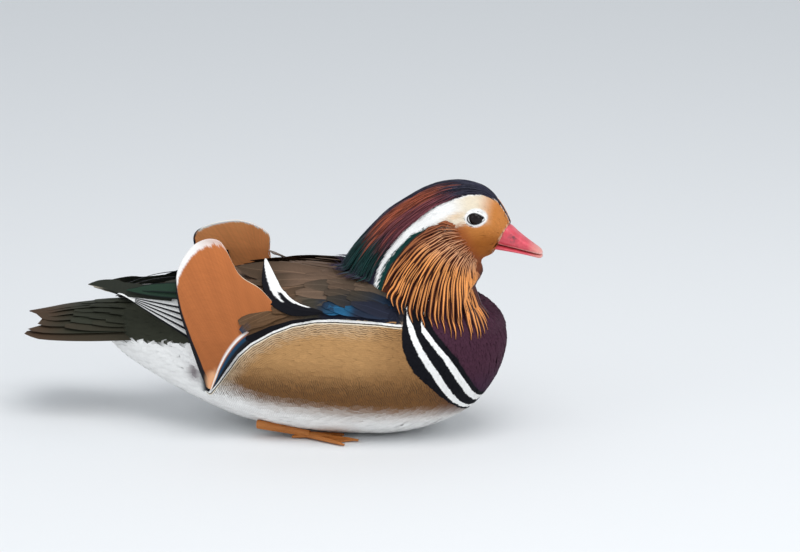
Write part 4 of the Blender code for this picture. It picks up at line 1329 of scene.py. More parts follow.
# %% Wing feathers
# Tiers from the rump forward: how many, x of the roots and the tips, first and last share of the
# way from the back to the flank, half width, height at root and tip, how much further forward
# the last tip lies than the first
WING_TIERS = [
    (7, -34, -76, 0.06, 0.62, 5.4, -0.8, 1.4, 0),
    (7, -14, -58, 0.08, 0.60, 5.8, -0.6, 1.8, 0),
    (7, 8, -38, 0.08, 0.62, 6.4, -0.4, 2.1, 0),
    (8, 26, -22, 0.10, 0.97, 7.0, -0.2, 2.4, 13),
    (8, 44, 2, 0.08, 0.97, 7.2, 0.0, 2.6, 8),
    (8, 60, 22, 0.08, 0.97, 7.0, 0.0, 2.7, 6),
    (8, 76, 41, 0.10, 0.97, 6.4, 0.0, 2.5, 4),
    (8, 92, 60, 0.18, 0.97, 5.6, -0.2, 2.1, 2),
]
# Root and tip in x, root and tip share, half width, height at root and tip
TERTIALS = [
    (6, -108, 0.02, 0.03, 7.0, -0.6, 3.0), (2, -104, 0.16, 0.12, 7.0, -0.6, 3.0),
    (-2, -98, 0.30, 0.22, 7.0, -0.6, 3.0), (-6, -90, 0.44, 0.34, 6.5, -0.6, 3.0),
]
INNER_TERTIALS = [(28, -14, 0.32, 0.30, 8.0, 2.2, 4.6)]
# The broad innermost tertial shows before the sail: x, distance from the middle, z, half width
LEAF = [
    (34, 27, 116.5, 6), (12, 25.5, 118, 9.5), (-8, 25, 118, 9.5), (-20, 22, 118, 6), (-28.7, 20, 118.4, 0.4),
]
FAR_LEAF_DROP = 5.0
# Shades across a blade, from edge to edge with the shaft in the middle
WING_SHADES = np.array([0.8, 1.0, 1.05, 1.7, 1.05, 1.0, 1.25])[:, None]
MANTLE_SHADES = np.array([0.9, 1.0, 1.0, 1.3, 1.0, 1.0, 0.9])[:, None]
TAIL_SHADES = np.array([1.05, 1.0, 1.0, 1.2, 1.0, 1.0, 1.05])[:, None]
WING_STATIONS = 14


def wing_paths(ends, shares, heights, half, side):
    f = np.linspace(0, 1, WING_STATIONS)
    x = between(*ends, f)
    over_border = level(FLANK_EDGE, x) + level(BORDER_WIDTH, x) + 0.8 * half[:, None]
    share = np.minimum(between(*shares, f), np.where(x > -12, share_at(x, over_border), 1.0))
    lift = wing_swell(np.maximum(x, -60), share) + between(*heights, f)
    path = wing_point(x, share, side, lift)
    normals = unit(wing_point(x, share, side, lift + 1) - path)
    return path, normals


def wing_colours(path):
    """Brown on the back, darker and greener towards the flank, with a patch of dark blue and a painted sheen
    of bright blue on it.
    """
    spots = (path + draw.normal(0, 1.6, (len(path), 1, 3))).reshape(-1, 3)
    colour = body_marks(spots, np.zeros(len(spots))).reshape(path.shape)
    colour = colour * draw.uniform(0.78, 1.22, (len(path), 1, 1))
    x = path[..., 0]
    depth = flank_depth(path.reshape(-1, 3)).reshape(x.shape)
    chance = draw.uniform(0, 1, (len(path), 1))
    blue = smooth(34, 42, x) * smooth(108, 98, x) * smooth(-17, -10, depth)
    colour = tinted(colour, BLUE, blue * smooth(0.3, 0.9, chance) * 0.3)
    # A painted sheen of bright blue on part of the blue patch
    bright = smooth(36, 42, x) * smooth(68, 58, x) * smooth(-11, -7, depth)
    return tinted(colour, PAINTED_BLUE_SHEEN, bright * (0.6 + 0.4 * chance))


def wing_feathers(name, side):
    rows = []
    for count, root, tip, first, last, half, low, high, forward in WING_TIERS:
        for share in np.linspace(first, last, count) + draw.uniform(-0.012, 0.012, count):
            stray = draw.uniform(-3, 3)
            end = tip + stray + forward * share**2
            rows.append((root + stray, end, share, share, half, low, high, 0.3))
    tiers = len(rows)
    rows += [row + (0.25,) for row in TERTIALS]
    inner = 1.0 if side < 0 else 0.55
    rows += [row[:6] + (row[6] * inner, 0.08) for row in INNER_TERTIALS]
    root, tip, start, end, half, low, high, blunt = np.array(rows).T
    path, normals = wing_paths((root, tip), (start, end), (low, high), half, side)
    f = np.linspace(0, 1, WING_STATIONS)
    half = half[:, None] * tapered(f, blunt[:, None], 0.5) * np.interp(f, [0, 0.25], [0.6, 1])
    leaf = along(LEAF, np.linspace(0, len(LEAF) - 1, WING_STATIONS))[None]
    leaf = leaf - np.array([0, 0, FAR_LEAF_DROP, 0]) * (side > 0)
    path = np.concatenate([path, leaf[..., :3] * np.array([1, side, 1])])
    normals = np.concatenate([normals, np.broadcast_to((0, side * 0.5, 0.866), leaf[..., :3].shape)])
    half = np.concatenate([half, leaf[..., 3]])
    colour = wing_colours(path)
    dark = smooth(0.2, 0.5, f) * np.ones((len(path) - tiers, 1)) * 0.7
    colour[tiers:] = tinted(colour[tiers:], TERTIAL, dark)
    colour = colour[:, :, None] * WING_SHADES
    return feathers("wing_feathers_" + name, path, normals, half, np.full_like(half, 0.32), colour, VANE)


wings = {}
for name, side in SIDES.items():
    wings[name] = wing_feathers(name, side)
    settle(wings[name], vane_plumage, "wing_feathers", "wing_" + name)

# %% [markdown]
# Between the two wings the back shows its own broad, blunt feathers. They lie in rows from the
# shoulders to the rump, each row's tips over the roots of the next.

# %% Mantle
MANTLE_ROOTS = np.arange(46, -60, -7.0)
MANTLE_ASIDES = (-15.0, -7.5, 0.0, 7.5, 15.0)
MANTLE_LENGTH = 30
MANTLE_HALF = 7.0
MANTLE_STATIONS = 8


def mantle():
    """Feathers of the back that close the gap between the two wings."""
    root, aside = np.meshgrid(MANTLE_ROOTS, MANTLE_ASIDES, indexing="ij")
    root = root.ravel() + draw.uniform(-2, 2, root.size)
    aside = aside.ravel() + draw.uniform(-1.5, 1.5, aside.size)
    f = np.linspace(0, 1, MANTLE_STATIONS)[None]
    x = root[:, None] - MANTLE_LENGTH * f
    y = np.broadcast_to(aside[:, None], x.shape)
    z = section_at(x)[0] + 2.6 + 3.2 * f - 0.011 * y * y
    path = np.stack([x, y, z], -1)
    normals = unit(np.stack([0 * x, 0.022 * y, 1 + 0 * x], -1))
    half = MANTLE_HALF * tapered(f, 0.4, 0.5) * np.ones_like(x)
    colour = wing_colours(path)[:, :, None] * MANTLE_SHADES
    return feathers("mantle_feathers", path, normals, half, np.full_like(half, 0.3), colour, VANE)


settle(mantle(), vane_plumage, "body_feathers")

# %% [markdown]
# The primaries and outer secondaries are few, so each is a blade of its own: the path is given
# point by point, and the colour of its webs by its kind.

# %% Primaries
# Each blade from root to tip: x, distance from the middle plane, z, half width. The dark tips lie
# under the five striped ones, with the green speculum above them.
DARK_TIPS = [
    [
        (-70, 44, 104, 3.6), (-108.2, 29.4, 100.4, 4.3), (-119.5, 24.8, 101.1, 4.5),
        (-130.8, 20.2, 100.3, 3.4), (-137.2, 17.6, 99.3, 1.7), (-141.3, 16, 98.4, 0.3),
    ],
    [
        (-70, 44, 102, 3.6), (-108.2, 29.4, 98.9, 4.3), (-119.5, 24.8, 99.3, 3.7),
        (-129.2, 20.9, 98.4, 2.4), (-134, 18.9, 97.4, 1), (-136.4, 18, 97, 0.3),
    ],
    [
        (-70, 44, 100, 3.6), (-108.2, 29.4, 97.8, 3.9), (-119.5, 24.8, 97.8, 3),
        (-126, 22.2, 96.9, 1.7), (-130, 20.6, 96.3, 0.4),
    ],
    [(-70, 44, 99, 3.4), (-108.2, 29.4, 96.9, 3.4), (-116.3, 26.1, 96.4, 2.2), (-121.9, 23.8, 95.4, 0.6)],
]
# The uppermost striped one, and how much lower each of its places lies in the next below
STRIPED = [
    (-52.9, 50.6, 94.5, 3.9), (-63.2, 47.1, 94.6, 3.4), (-85.7, 38.3, 94.4, 2.2), (-108.2, 29.4, 94.2, 1),
    (-117, 26, 94.6, 0.3),
]
STRIPED_STEP = [-5.6, -4.6, -2.5, -0.35, -0.2]
STRIPED_COUNT = 5
SPECULUM = [
    [(-52.9, 50.6, 108, 5), (-80.9, 40.3, 104.2, 3.6), (-92.9, 35.5, 101.8, 2.6), (-101, 32, 100.2, 0.5)],
    [(-52.9, 50.6, 103.5, 5.4), (-80.9, 40.3, 100.8, 4.2), (-95, 35, 99.8, 3.2), (-108, 29.6, 98.0, 0.5)],
]
WHITE_SECONDARY = [
    (-62, 31, 92.4, 4.6), (-93.2, 17.8, 93.3, 2.6), (-103.2, 12.6, 93.5, 1.6), (-109.8, 9.1, 93.7, 0.5),
]
BLACK_SECONDARIES = [
    [
        (-62, 31, 96, 3.4), (-93.2, 17.8, 95.3, 2.8), (-106.5, 10.8, 93.7, 2.8), (-115.8, 6, 91.4, 3.0),
        (-122.5, 3.1, 89.8, 0.5),
    ],
    [
        (-62, 31, 100.4, 4.8), (-93.2, 17.8, 98.5, 3.7), (-106.5, 10.8, 95.9, 3.4), (-115.8, 6, 93.1, 3.4),
        (-124.5, 2.3, 89.3, 0.5),
    ],
]
WEBS = {"dark": DARK_GREEN, "striped": WHITE, "green": SPECULUM_GREEN, "white": WHITE, "black": INK}
GREY_EDGE = (0.10, 0.10, 0.10)
FLIGHT_STATIONS = 18
LINED = ((-1, 0), (-0.64, 0.35), (-0.5, 0.5), (0, 1), (0.5, 0.5), (0.64, 0.35), (1, 0))


def flight_path(rows, inner, order, side, raised):
    """Path, half widths and outward directions of one blade of the folded wing's hand."""
    x, y, z, half = along(rows, np.linspace(0, len(rows) - 1, FLIGHT_STATIONS)).T
    lean = 0.35 if inner else 0.8
    out = np.array([0, side * lean, math.sqrt(1 - lean * lean)])
    if side > 0 and not inner:
        z = z - 8 * smooth(-50, -90, x)
    path = np.stack([x, side * y, z + raised], -1) + out * order
    return path, half, np.broadcast_to(out, path.shape)


def flight_colour(kind, across):
    """A blade's colours along it and across it, from its rear edge to its front one."""
    f = np.linspace(0, 1, FLIGHT_STATIONS)[:, None]
    colour = filled(WEBS[kind], (FLIGHT_STATIONS, len(across)))
    if kind == "striped":
        colour = tinted(colour, INK, (across > 0.6) | (f > 0.9))
    if kind == "dark":
        colour = tinted(colour, CREAM, (across > 0.9) * smooth(0.5, 0.7, f) * 0.6)
    if kind == "green":
        colour = tinted(colour, INK, np.abs(across) > 0.9)
    if kind == "black":
        colour = tinted(colour, GREY_EDGE, across > 0.9)
    return colour


def flight_feathers(name, side):
    """The folded hand of the wing. The left one lies lower, so the tips cross over the rump."""
    lower = np.zeros((len(STRIPED), 4))
    lower[:, 2] = STRIPED_STEP
    striped = [np.array(STRIPED) + lower * k for k in range(STRIPED_COUNT)]
    blades = [(rows, "dark", 0.5 * k) for k, rows in enumerate(DARK_TIPS)]
    blades += [(rows, "striped", 2.2 + 0.5 * k) for k, rows in enumerate(striped)]
    blades += [(rows, "green", 2.6 + 0.5 * k) for k, rows in enumerate(SPECULUM)]
    blades += [(WHITE_SECONDARY, "white", 0.0)]
    blades += [(rows, "black", 0.5 + 0.5 * k) for k, rows in enumerate(BLACK_SECONDARIES)]
    # The secondaries nearest the rump: how much higher the white and the black ones lie on each side
    inner_raised = {"white": -3 if side < 0 else 0, "black": -3 if side < 0 else 2}
    across = np.array([a for a, _ in LINED]) * -side
    paths, halves, outs, colours = [], [], [], []
    for rows, kind, order in blades:
        raised = inner_raised.get(kind, 0)
        path, half, out = flight_path(rows, kind in inner_raised, order, side, raised)
        paths.append(path)
        halves.append(half)
        outs.append(out)
        colours.append(flight_colour(kind, across))
    paths, halves, outs, colours = (np.stack(v) for v in (paths, halves, outs, colours))
    return feathers("primaries_" + name, paths, outs, halves, np.full_like(halves, 0.3), colours, LINED)


for name, side in SIDES.items():
    settle(flight_feathers(name, side), vane_plumage, "wing_feathers")

# %% [markdown]
# Before each sail stands one tall feather with a black rear web and a white front one, whose foot
# runs on as a thin white line along the flank.

# %% Crescents
# Along the blade: x, distance from the middle plane, z
CRESCENTS = {
    "right": [(44, 59, 98.5), (24, 58, 100), (9, 50, 106), (1, 41, 114), (-3, 33.5, 121), (-5.5, 28, 127.5)],
    "left": [(44, 60, 94), (24, 60, 93), (8, 55, 97), (-2, 46, 104.5), (-10, 35, 114), (-17, 30, 119.4)],
}
CRESCENT_HALF = [0.8, 5.2, 7.2, 5.8, 3.4, 0.5]
CRESCENT_STATIONS = 71
# Across the blade, from its rear edge to its front: how far down from the tip the white reaches
WHITE_FOOT = [
    (-0.35, 3.2), (-0.2, 2.5), (0.05, 1.5), (0.25, 2.0), (0.4, 2.3), (0.62, 2.2), (0.74, 0.6), (1, 0.5),
]
# Along the blade: how far across it the black of the rear edge reaches
BLACK_REAR = [(2, -0.2), (3, -0.25), (4, -0.45), (5, -0.9)]


# Rays start this far out from the middle plane; a path is moved evenly over this many stations
FAR_OUT = 150
EASE = 4


def draped(path, aside, half, over, side, clear=0.5):
    """Moves a path out sideways until the blade along it lies clear of another piece."""
    tree = BVHTree.FromObject(over, bpy.context.evaluated_depsgraph_get())
    need = np.zeros(len(path))
    for i, place in enumerate(path):
        for share in (-0.9, -0.45, 0, 0.45, 0.9):
            x, y, z = place + aside[i] * half[i] * share
            hit = tree.ray_cast(Vector((x, side * FAR_OUT, z)) * MM, Vector((0, -side, 0)))[0]
            if hit is not None:
                need[i] = max(need[i], side * (hit.y / MM - y) + clear)
    widest = np.array([need[max(i - EASE, 0):i + EASE + 1].max() for i in range(len(need))])
    window = np.full(2 * EASE + 1, 1 / (2 * EASE + 1))
    eased = np.convolve(np.pad(widest, EASE, mode="edge"), window, mode="valid")
    return path + np.array([0, side, 0]) * eased[:, None]


def crescent(name, side):
    t = np.linspace(0, len(CRESCENT_HALF) - 1, CRESCENT_STATIONS)
    path = along(CRESCENTS[name], t) * np.array([1, side, 1])
    normals = np.broadcast_to(unit(np.array([0.35, side * 0.85, 0.35])), path.shape)
    half = np.interp(t, range(len(CRESCENT_HALF)), CRESCENT_HALF)
    aside = unit(np.cross(normals, np.gradient(path, axis=0)))
    path = draped(path, aside, half, wings[name], side)
    face, back_face = np.linspace(-1, 1, 21), np.linspace(0.9, -0.9, 19)
    across = np.concatenate([face, back_face])
    upper = np.arange(len(across)) < len(face)
    bulge = np.sqrt(np.maximum(1 - np.abs(across), 0)) * 0.8 + 0.4 * np.exp(-((across / 0.08) ** 2))
    section = np.stack([across, bulge * np.where(upper, 1.0, -0.3)], -1)
    front = across[None] * side
    t = t[:, None]
    jag = 0.10 * np.sin(t * 23) + 0.06 * np.sin(t * 51)
    white = smooth(-0.08, 0.08, t - level(WHITE_FOOT, front) + 0.5 * jag)
    white = white * smooth(-0.06, 0.06, front - level(BLACK_REAR, t) + 0.4 * jag)
    colours = tinted(filled(INK, white.shape), WHITE, white)[None]
    crown = np.full((1, CRESCENT_STATIONS), 0.7)
    return feathers("crescent_" + name, path[None], normals[None], half[None], crown, colours, section)


for name, side in SIDES.items():
    settle(crescent(name, side), vane_plumage, "wing_feathers")

# %% [markdown]
# The sails are what the drake is known for: on each side one inner flight feather whose inner web
# is grown into a tall cinnamon fan. The sheet follows the shaft, low along the flank, and its
# barbs run up to the free edge, which is white above and black behind.

# %% Sails
SAILS = {
    "right": [
        (16, 93, 14, 96), (8, 91, -3, 111), (0, 88, -20, 120.5), (-9, 83, -36.5, 142),
        (-18, 75.5, -54.5, 138.5), (-25, 66, -65.5, 119), (-30, 56, -62, 97), (-34, 46, -51, 71),
        (-37, 38.5, -39.5, 41),
    ],
    "left": [
        (16, 93, 12, 95), (6, 91, -12, 99), (-4, 88, -22.5, 110), (-12, 83, -21.5, 128),
        (-20, 76, -42, 138), (-29, 67, -70, 131), (-36, 56, -79, 117), (-40, 46, -67, 82),
        (-43, 38.5, -46, 41),
    ],
}
# Along the rows: how wide the white margin is, and the pale rim along the shaft
SAIL_MARGIN = [(2.5, 0), (2.9, 0.05), (3.5, 0.075), (4.6, 0.065), (5.4, 0.035), (5.95, 0)]
SAIL_RIM = [(2, 0.010), (5.6, 0.016), (6.5, 0.10), (7.2, 0.32), (7.95, 0.8)]
# Painted light on the cinnamon: how bright it is at a height, lighter towards the top where the overhead
# light falls; and how white the margin is along the rows
SAIL_PAINTED_LIGHT = [(40, 0.76), (80, 0.92), (105, 1.0), (140, 1.2)]
SAIL_FRINGE = [(2.6, 0.35), (3.3, 0.55), (4.1, 0.95)]
SAIL_GRID = ((190, 80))
# The rows that the sheet covers, and the shares of the way from the shaft to the free edge
SAIL_ROWS = (0.55, 7.95)
SAIL_SHARES = (-0.1, 1.0)
SAIL_THICKNESS = 0.8
# Light shining through the sheet is painted on: its inner face is made brighter and warmer
SHINE_THROUGH = (1.9, 2.4, 3.0)
# The black hem along the rear edge, in mm
SAIL_HEM = [(4.9, 0), (5.4, 1.0), (6.2, 2.0), (7.0, 3.2), (7.6, 3.2), (7.95, 1.2)]
# How far out it stands from the middle plane: z, distance
SAIL_LEAN = [(36, 66), (55, 68.5), (75, 66), (95, 58.5), (115, 49), (140, 39)]


def sail_point(name, row, share):
    side = SIDES[name]
    shaft_x, shaft_z, edge_x, edge_z = np.moveaxis(along(SAILS[name], row), -1, 0)
    x = shaft_x + (edge_x - shaft_x) * share
    z = shaft_z + (edge_z - shaft_z) * share
    y = level(SAIL_LEAN, z) + 1.8 * np.sin(np.pi * np.maximum(share, 0)) + 2.0 * share * share
    y = y + 0.8 * np.exp(-((share / 0.03) ** 2))
    bow = 6.0 * smooth(4.6, 3.2, row) * np.sin(np.pi * np.clip(share, 0, 1)) * (name == "left")
    return np.stack([x - bow, side * y, z], -1)


def sail_colour(name, row, share, points):
    near = name == "right"
    streaks = 0.035 * np.sin(row * 41 + 2 * share) + 0.03 * np.sin(row * 97 - 3 * share)
    streaks = streaks + 0.03 * np.sin(row * 7 + 5 * share)
    # The cinnamon carries painted light: lighter towards the sail's top
    cinnamon = np.array(SAIL) * ((1 + streaks) * level(SAIL_PAINTED_LIGHT, points[:, 2]))[:, None]
    edge_line = along(SAILS[name], np.linspace(4.5, 8, 240))[:, 2:]
    from_edge = np.linalg.norm(points[:, None, [0, 2]] - edge_line, axis=-1).min(-1)
    fray = 0.010 * np.sin(row * 61) + 0.008 * np.sin(row * 143 + 1.3) + 0.006 * np.sin(row * 301)
    fray = fray * (0.4 + 1.2 * smooth(3.8, 3.0, row))
    margin = level(SAIL_MARGIN, row) * (1.0 if near else 0.25)
    fringe = smooth(0.014, -0.012, 1 - share - margin - fray) * (margin > 0.004)
    rim = np.abs(share) / level(SAIL_RIM, row)
    return painted(
        cinnamon,
        (WHITE if near else CREAM, fringe * level(SAIL_FRINGE, row)),
        (CREAM, smooth(0.978, 0.988, share) * smooth(2.9, 2.5, row) * 0.8),
        (INK, smooth(0.3, -0.3, from_edge - level(SAIL_HEM, row)) * smooth(4.9, 5.3, row)),
        (PEACH, smooth(1.3, 0.3, rim) * smooth(6.0, 6.8, row)),
        (WHITE, smooth(0.013, 0.007, np.abs(share)) * smooth(2.5, 3.5, row)),
        (BLUE, smooth(-0.02, -0.03, share)),
        (INK, smooth(-0.055, -0.065, share)),
    )


def sail(name):
    shape = bmesh.new()
    bmesh.ops.create_grid(shape, x_segments=SAIL_GRID[0], y_segments=SAIL_GRID[1], size=1)
    over = np.array([v.co[:2] for v in shape.verts]) / 2 + 0.5
    row = SAIL_ROWS[0] + (SAIL_ROWS[1] - SAIL_ROWS[0]) * over[:, 0]
    share = SAIL_SHARES[0] + (SAIL_SHARES[1] - SAIL_SHARES[0]) * over[:, 1]
    points = sail_point(name, row, share)
    for vert, point in zip(shape.verts, points.tolist()):
        vert.co = point
    bmesh.ops.recalc_face_normals(shape, faces=shape.faces)
    made = object_from("sail_" + name + "_feather", shape)
    store_plumage(made.data, sail_colour(name, row, share, points))
    flat = np.stack([0.5 + share * 0.5, row * 0.1], -1)[read(made.data.loops, "vertex_index")]
    made.data.uv_layers.new(name="Vane").data.foreach_set("uv", flat.ravel().astype(np.float32))
    smooth_shaded(made)
    thick = made.modifiers.new("thickness", "SOLIDIFY")
    thick.thickness = SAIL_THICKNESS * MM
    thick.offset = 0
    keep_modifiers(made)
    # Painted light shining through: the inner face is made brighter and warmer
    inner = read(made.data.vertices, "normal", 3)[:, 1] * SIDES[name] < 0
    layer = made.data.color_attributes["Plumage"]
    rgba = read(layer.data, "color", 4)
    rgba[inner, :3] *= SHINE_THROUGH
    layer.data.foreach_set("color", np.minimum(rgba, 0.93).ravel())
    return made


for name in SIDES:
    settle(sail(name), sail_plumage, "sail_feathers", "sail_" + name)


# %% [markdown]
# The tail is a low roof of twelve main feathers, longest in the middle and at the sides, so that
# from the side it ends in two points. Four tiers of coverts lie over their roots.

# %% Tail
TAIL_ROOT_X = -104
TAIL_TIP_X = -191.0
TAIL_STATIONS = 14


def tail_half(f):
    """Half the tail's width at a share of the way from the rump to the tips."""
    return 26 + 6 * np.sin(np.pi * np.minimum(f, 1)) - 16 * np.maximum(f - 0.8, 0)


def tail_point(f, across, lift=0.0):
    """A point over the tail: f from the rump to the tips, across from -1, right, to 1, left."""
    f, across, lift = np.broadcast_arrays(*(np.asarray(v, float) for v in (f, across, lift)))
    x = TAIL_ROOT_X + (TAIL_TIP_X - TAIL_ROOT_X) * f
    z = 86 - 10 * f - 4 * f * f - (23 - 17 * np.minimum(f, 1)) * np.abs(across) ** 1.7
    return np.stack([x, across * tail_half(f), z + lift], -1)


# The edge of the two lobes, from the middle to the side: share across, share along
TAIL_TIPS = [(0, 1.0), (0.07, 1.0), (0.26, 0.93), (0.44, 0.86), (0.63, 0.82), (0.81, 0.87), (1, 0.94)]
# Tiers of the upper coverts: how many, root and tip along the tail, height, spread, half width
TAIL_COVERTS = [
    (11, 0.02, 0.58, 0.6, 0.86, 5.0), (10, -0.12, 0.40, 1.6, 0.80, 4.6),
    (9, -0.28, 0.22, 2.6, 0.74, 4.4), (8, -0.42, 0.06, 3.4, 0.7, 4.2),
]
MAIN_PAIRS = 6


def forked(made):
    """Slants the tips of the main feathers along the edge of the tail's two lobes."""
    points = read(made.data.vertices, "co", 3).reshape(-1, TAIL_STATIONS, len(VANE), 3) / MM
    main = points[:2 * MAIN_PAIRS]
    f = (main[..., 0] - TAIL_ROOT_X) / (TAIL_TIP_X - TAIL_ROOT_X)
    edge = level(TAIL_TIPS, np.abs(main[..., 1]) / tail_half(f))
    shaft = len(VANE) // 2
    along_it = np.linspace(0, 1, TAIL_STATIONS)[:, None]
    slant = (edge - f[:, -1:, shaft:shaft + 1]) * smooth(0.62, 1.0, along_it)
    main[..., 0] += slant * (TAIL_TIP_X - TAIL_ROOT_X)
    made.data.vertices.foreach_set("co", (points * MM).ravel().astype(np.float32))
    made.data.update()


def tail():
    rows = []
    for side in (-1, 1):
        for k in range(MAIN_PAIRS):
            across = side * (0.07 + 0.93 * k / (MAIN_PAIRS - 1))
            under = -0.3 - 0.6 * (k + 0.5 * (side > 0))
            tip = float(level(TAIL_TIPS, abs(across)))
            rows.append((-0.05, tip, across, 0.2, under, under + 0.2, 8.4, 0.45))
    for count, root, tip, height, spread, half in TAIL_COVERTS:
        for across in np.linspace(-spread, spread, count) + draw.uniform(-0.02, 0.02, count):
            end = tip + draw.uniform(-0.04, 0.04)
            rows.append((root, end, across, 0.1, height - 1.6, height, half, 0.4))
    start, end, across, narrowed, low, high, half, blunt = np.array(rows).T[:, :, None]
    f = np.linspace(0, 1, TAIL_STATIONS)[None]
    run = start + (end - start) * f
    aside = across * (1 - narrowed * (1 - f))
    path = tail_point(run, aside, low + (high - low) * f)
    turn = power_of(aside, 0.7) * (0.75 - 0.5 * np.minimum(run, 1))
    normals = np.stack([0 * turn, np.sin(turn), np.cos(turn)], -1)
    width = half * tapered(f, blunt, np.where(high < 0, 0.8, 0.6))
    colour = painted(
        filled(GREEN_OLIVE, run.shape),
        (TAIL_BROWN, smooth(0.5, 0.9, run)),
        (TAIL_BROWN, smooth(0.7, 1.0, np.abs(aside)) * 0.6),
    )
    colour = colour * draw.uniform(0.92, 1.08, (len(rows), 1, 1))
    colour = colour[:, :, None] * TAIL_SHADES
    made = feathers("tail_feathers", path, normals, width, np.full_like(width, 0.2), colour, VANE)
    forked(made)
    return made


settle(tail(), vane_plumage, "tail_feathers", "tail")

# %% [markdown]
# The bill is bare skin over horn, raspberry red with a paler nail at its tip. Its two halves are
# lofted from their sections and meet along the mouth. The slot of the nostril is pressed in.

# %% Bill
BILL = [
    (156, 156, 141.1, 137.0, 8.6),
    (166, 155.2, 139.1, 136.0, 8.5),
    (173, 149.8, 137.7, 134.9, 7.6),
    (179, 145.2, 136.5, 133.9, 6.9),
    (185, 140.9, 135.3, 132.7, 6.4),
    (189.2, 137.9, 134.5, 131.7, 5.3),
    (191.0, 135.7, 134.1, 132.0, 3.1),
]
NOSTRIL = (171.0, 6.9, 146.4)
# The nostril's slot: how far it is pressed in, half its length and half its height
SLOT = (1.3, 2.6, 0.9)
MOUTH_GAP = 0.12
RED = (0.58, 0.055, 0.082)
ROSE = (0.78, 0.095, 0.135)
NAIL = (0.78, 0.36, 0.30)
LIP = (0.80, 0.40, 0.36)
NOSTRIL_DARK = (0.10, 0.05, 0.06)


def bill_half(name, upper):
    turns = np.linspace(0, 2 * np.pi, TUBE_POINTS, endpoint=False)
    c, s = np.cos(turns), np.sin(turns)
    rings = []
    for x, top, mouth, under, half in along(BILL, np.linspace(0, len(BILL) - 1, 44)):
        low, high = (mouth + MOUTH_GAP, top) if upper else (under, mouth - MOUTH_GAP)
        wide = half if upper else half * 0.86
        share = 0.5 + 0.5 * power_of(c, 0.75)
        rings.append(np.stack([x + 0 * c, -wide * power_of(s, 0.7), low + (high - low) * share], -1))
    shape = tube(rings)
    cut_at_bill(shape, -1.0, clear_inner=True)
    bmesh.ops.recalc_face_normals(shape, faces=shape.faces)
    if upper:
        press_nostrils(shape)
    made = object_from(name, shape)
    smooth_shaded(made)
    return made


def press_nostrils(shape):
    depth, length, height = SLOT
    for vert in shape.verts:
        x, y, z = vert.co
        ahead, up = x - NOSTRIL[0], z - NOSTRIL[2]
        along_slot = ahead * 0.84 - up * 0.54
        across_slot = ahead * 0.54 + up * 0.84
        press = math.exp(-((along_slot / length) ** 2) - (across_slot / height) ** 2)
        vert.co.y -= math.copysign(depth * press * min(abs(y) / 3, 1), y)


def bill_material():
    material, tree, shader = plain_material("bill_skin", 0.38, 0.5)
    shader.inputs["Coat Weight"].default_value = 0.15
    where = step(tree, "TexCoord").node.outputs["Object"]
    parts = step(tree, "SeparateXYZ", where).node.outputs
    mottle = noise(tree, where, 260.0, 4.0)
    red = mixed(tree, spread(tree, mottle, 0.35, 0.7), RED, ROSE)
    red = mixed(tree, spread(tree, parts[0], 0.181, 0.190, 0.0, 0.85), red, NAIL)
    lip = band(tree, projected(tree, where, (200.0, 0.0, 1000.0)), 172.7, 174.1, 0.3)
    red = mixed(tree, times(tree, lip, 0.85), red, LIP)
    nostril = (NOSTRIL[0] * MM, 0.0, NOSTRIL[2] * MM)
    near = step(tree, "VectorMath", where, nostril, operation="SUBTRACT")
    near = step(tree, "VectorMath", near, (1.0, 0.0, 1.0), operation="MULTIPLY")
    gap = step(tree, "VectorMath", near, operation="LENGTH").node.outputs["Value"]
    # Darker in patches round the nostril
    round_nostril = times(tree, spread(tree, gap, 0.0015, 0.0045, 1.0, 0.0), spread(tree, mottle, 0.45, 0.6))
    tree.links.new(mixed(tree, round_nostril, red, NOSTRIL_DARK), shader.inputs["Base Color"])
    bumped(tree, shader, noise(tree, where, 700.0), 0.25)
    return material


bill_skin = bill_material()
settle(bill_half("upper_bill", True), bill_skin, "bill", "bill_upper")
settle(bill_half("lower_bill", False), bill_skin, "bill", "bill_lower")

# %% [markdown]
# The eye is a wet dark ball with a very dark brown iris. A thin rim of lid closes round it, a
# little pointed in front and behind.

# %% Eyes
EYE_BROWN = (0.010, 0.006, 0.006)
EYE_DROP = 1.2
# The opening between the lids: half its length behind, the point in front, half its height
EYE_OPENING = (5.2, 0.8, 3.95)
# Rings of the lid, from under it outwards: size, height, how far it has left the ball for the head
LID_RINGS = ((0.98, -1.2, 0.0), (1.0, 0.15, 0.0), (1.07, 0.45, 0.25), (1.2, 0.5, 0.7), (1.42, -0.4, 1.0))
LID_DARK = (1.0, 1.0, 0.9, 0.0, 0.0)
LID_POINTS = 72


def eye_material():
    material, _, shader = plain_material("eye", 0.05, 0.2)
    shader.inputs["Base Color"].default_value = (*EYE_BROWN, 1)
    return material


def lid_material():
    material, tree, shader = plain_material("lid", 0.7, 0.2)
    tree.links.new(step(tree, "Attribute", attribute_name="Plumage"), shader.inputs["Base Color"])
    return material


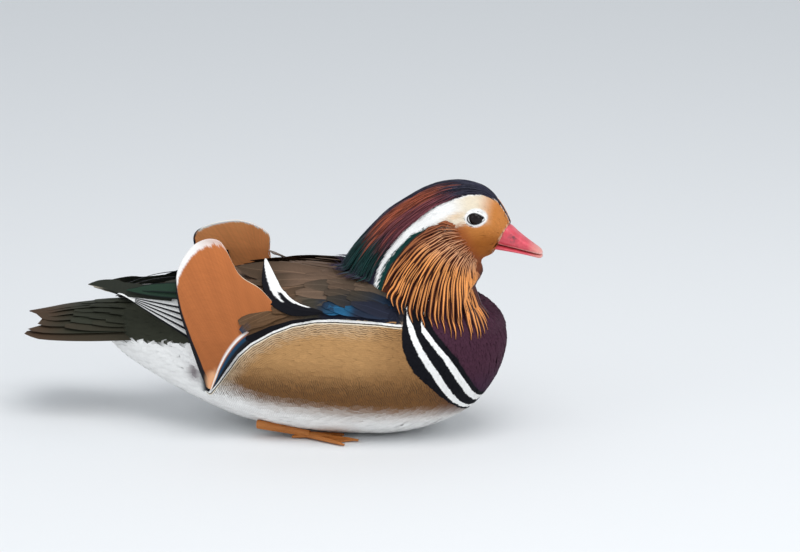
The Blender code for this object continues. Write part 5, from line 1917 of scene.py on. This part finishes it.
def lid(name, side, middle, radius):
    """A rim that lies on the eyeball inside, dark there, and runs out white onto the head."""
    turns = np.linspace(0, 2 * np.pi, LID_POINTS, endpoint=False)
    c, s = np.cos(turns), np.sin(turns)
    long, point, tall = EYE_OPENING
    ahead = c * (long + point * np.maximum(c, 0) ** 8)
    up = s * tall * (1 - 0.12 * np.maximum(c, 0)) - 0.5 * np.maximum(c, 0) ** 4
    rings = []
    for scale, rise, onto_head in LID_RINGS:
        x, z = middle[0] + ahead * scale, middle[2] + up * scale
        from_middle = (ahead * scale) ** 2 + (up * scale) ** 2
        on_ball = np.sqrt(np.maximum(radius**2 - from_middle, 0)) + side * middle[1]
        on_head = []
        for place in zip(x, z):
            start = Vector((place[0], side * FAR_OUT, place[1])) * MM
            on_head.append(side * hide.tree.ray_cast(start, Vector((0, -side, 0)))[0].y / MM)
        on_head = np.array(on_head)
        y = (1 - onto_head) * np.maximum(on_ball, on_head - 0.4) + onto_head * on_head + rise
        y = np.maximum(y, on_ball + 0.25) if rise > 0 else y
        rings.append(np.stack([x, side * y, z], -1))
    made = object_from("lid_" + name, tube(rings, endless=True))
    dark = np.repeat(LID_DARK, LID_POINTS)
    store_plumage(made.data, tinted(filled(WHITE, dark.shape), INK, dark))
    return made


eye_dark = eye_material()
lid_skin = lid_material()
for name, side in SIDES.items():
    low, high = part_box("eye_" + name)
    middle = np.array((low + high) / 2 / MM) - np.array([0, 0, EYE_DROP])
    radius = (high.x - low.x) / 2 / MM
    shape = bmesh.new()
    bmesh.ops.create_uvsphere(shape, u_segments=48, v_segments=32, radius=radius)
    bmesh.ops.translate(shape, verts=shape.verts, vec=Vector(middle))
    ball = object_from("eyeball_" + name, shape)
    settle(ball, eye_dark, "eyes", "eye_" + name)
    rim = lid(name, side, middle, radius)
    settle(rim, lid_skin, "eyes")
    smooth_shaded(ball)
    smooth_shaded(rim)
    print("eye", name, "radius", round(radius, 2), "middle", middle.round(1))

# %% [markdown]
# The feet are kept as the solids have them, folded flat beside the belly. Only their skin is new: small
# scales from a cell texture, over an orange that is mottled with brown.

# %% Feet
FOOT_ORANGE = (0.55, 0.20, 0.04)
FOOT_BROWN = (0.36, 0.11, 0.02)


def foot_material():
    material, tree, shader = plain_material("foot_skin", 0.5, 0.4)
    where = step(tree, "TexCoord").node.outputs["Object"]
    mottle = noise(tree, where, 120.0)
    tree.links.new(mixed(tree, mottle, FOOT_ORANGE, FOOT_BROWN), shader.inputs["Base Color"])
    bumped(tree, shader, step(tree, "TexVoronoi", where, None, 700.0), 0.5, 0.0004)
    return material


foot_skin = foot_material()
for name in SIDES:
    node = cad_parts["leg_" + name]
    node.data.materials.clear()
    node.data.materials.append(foot_skin)
print("feet keep their solids")
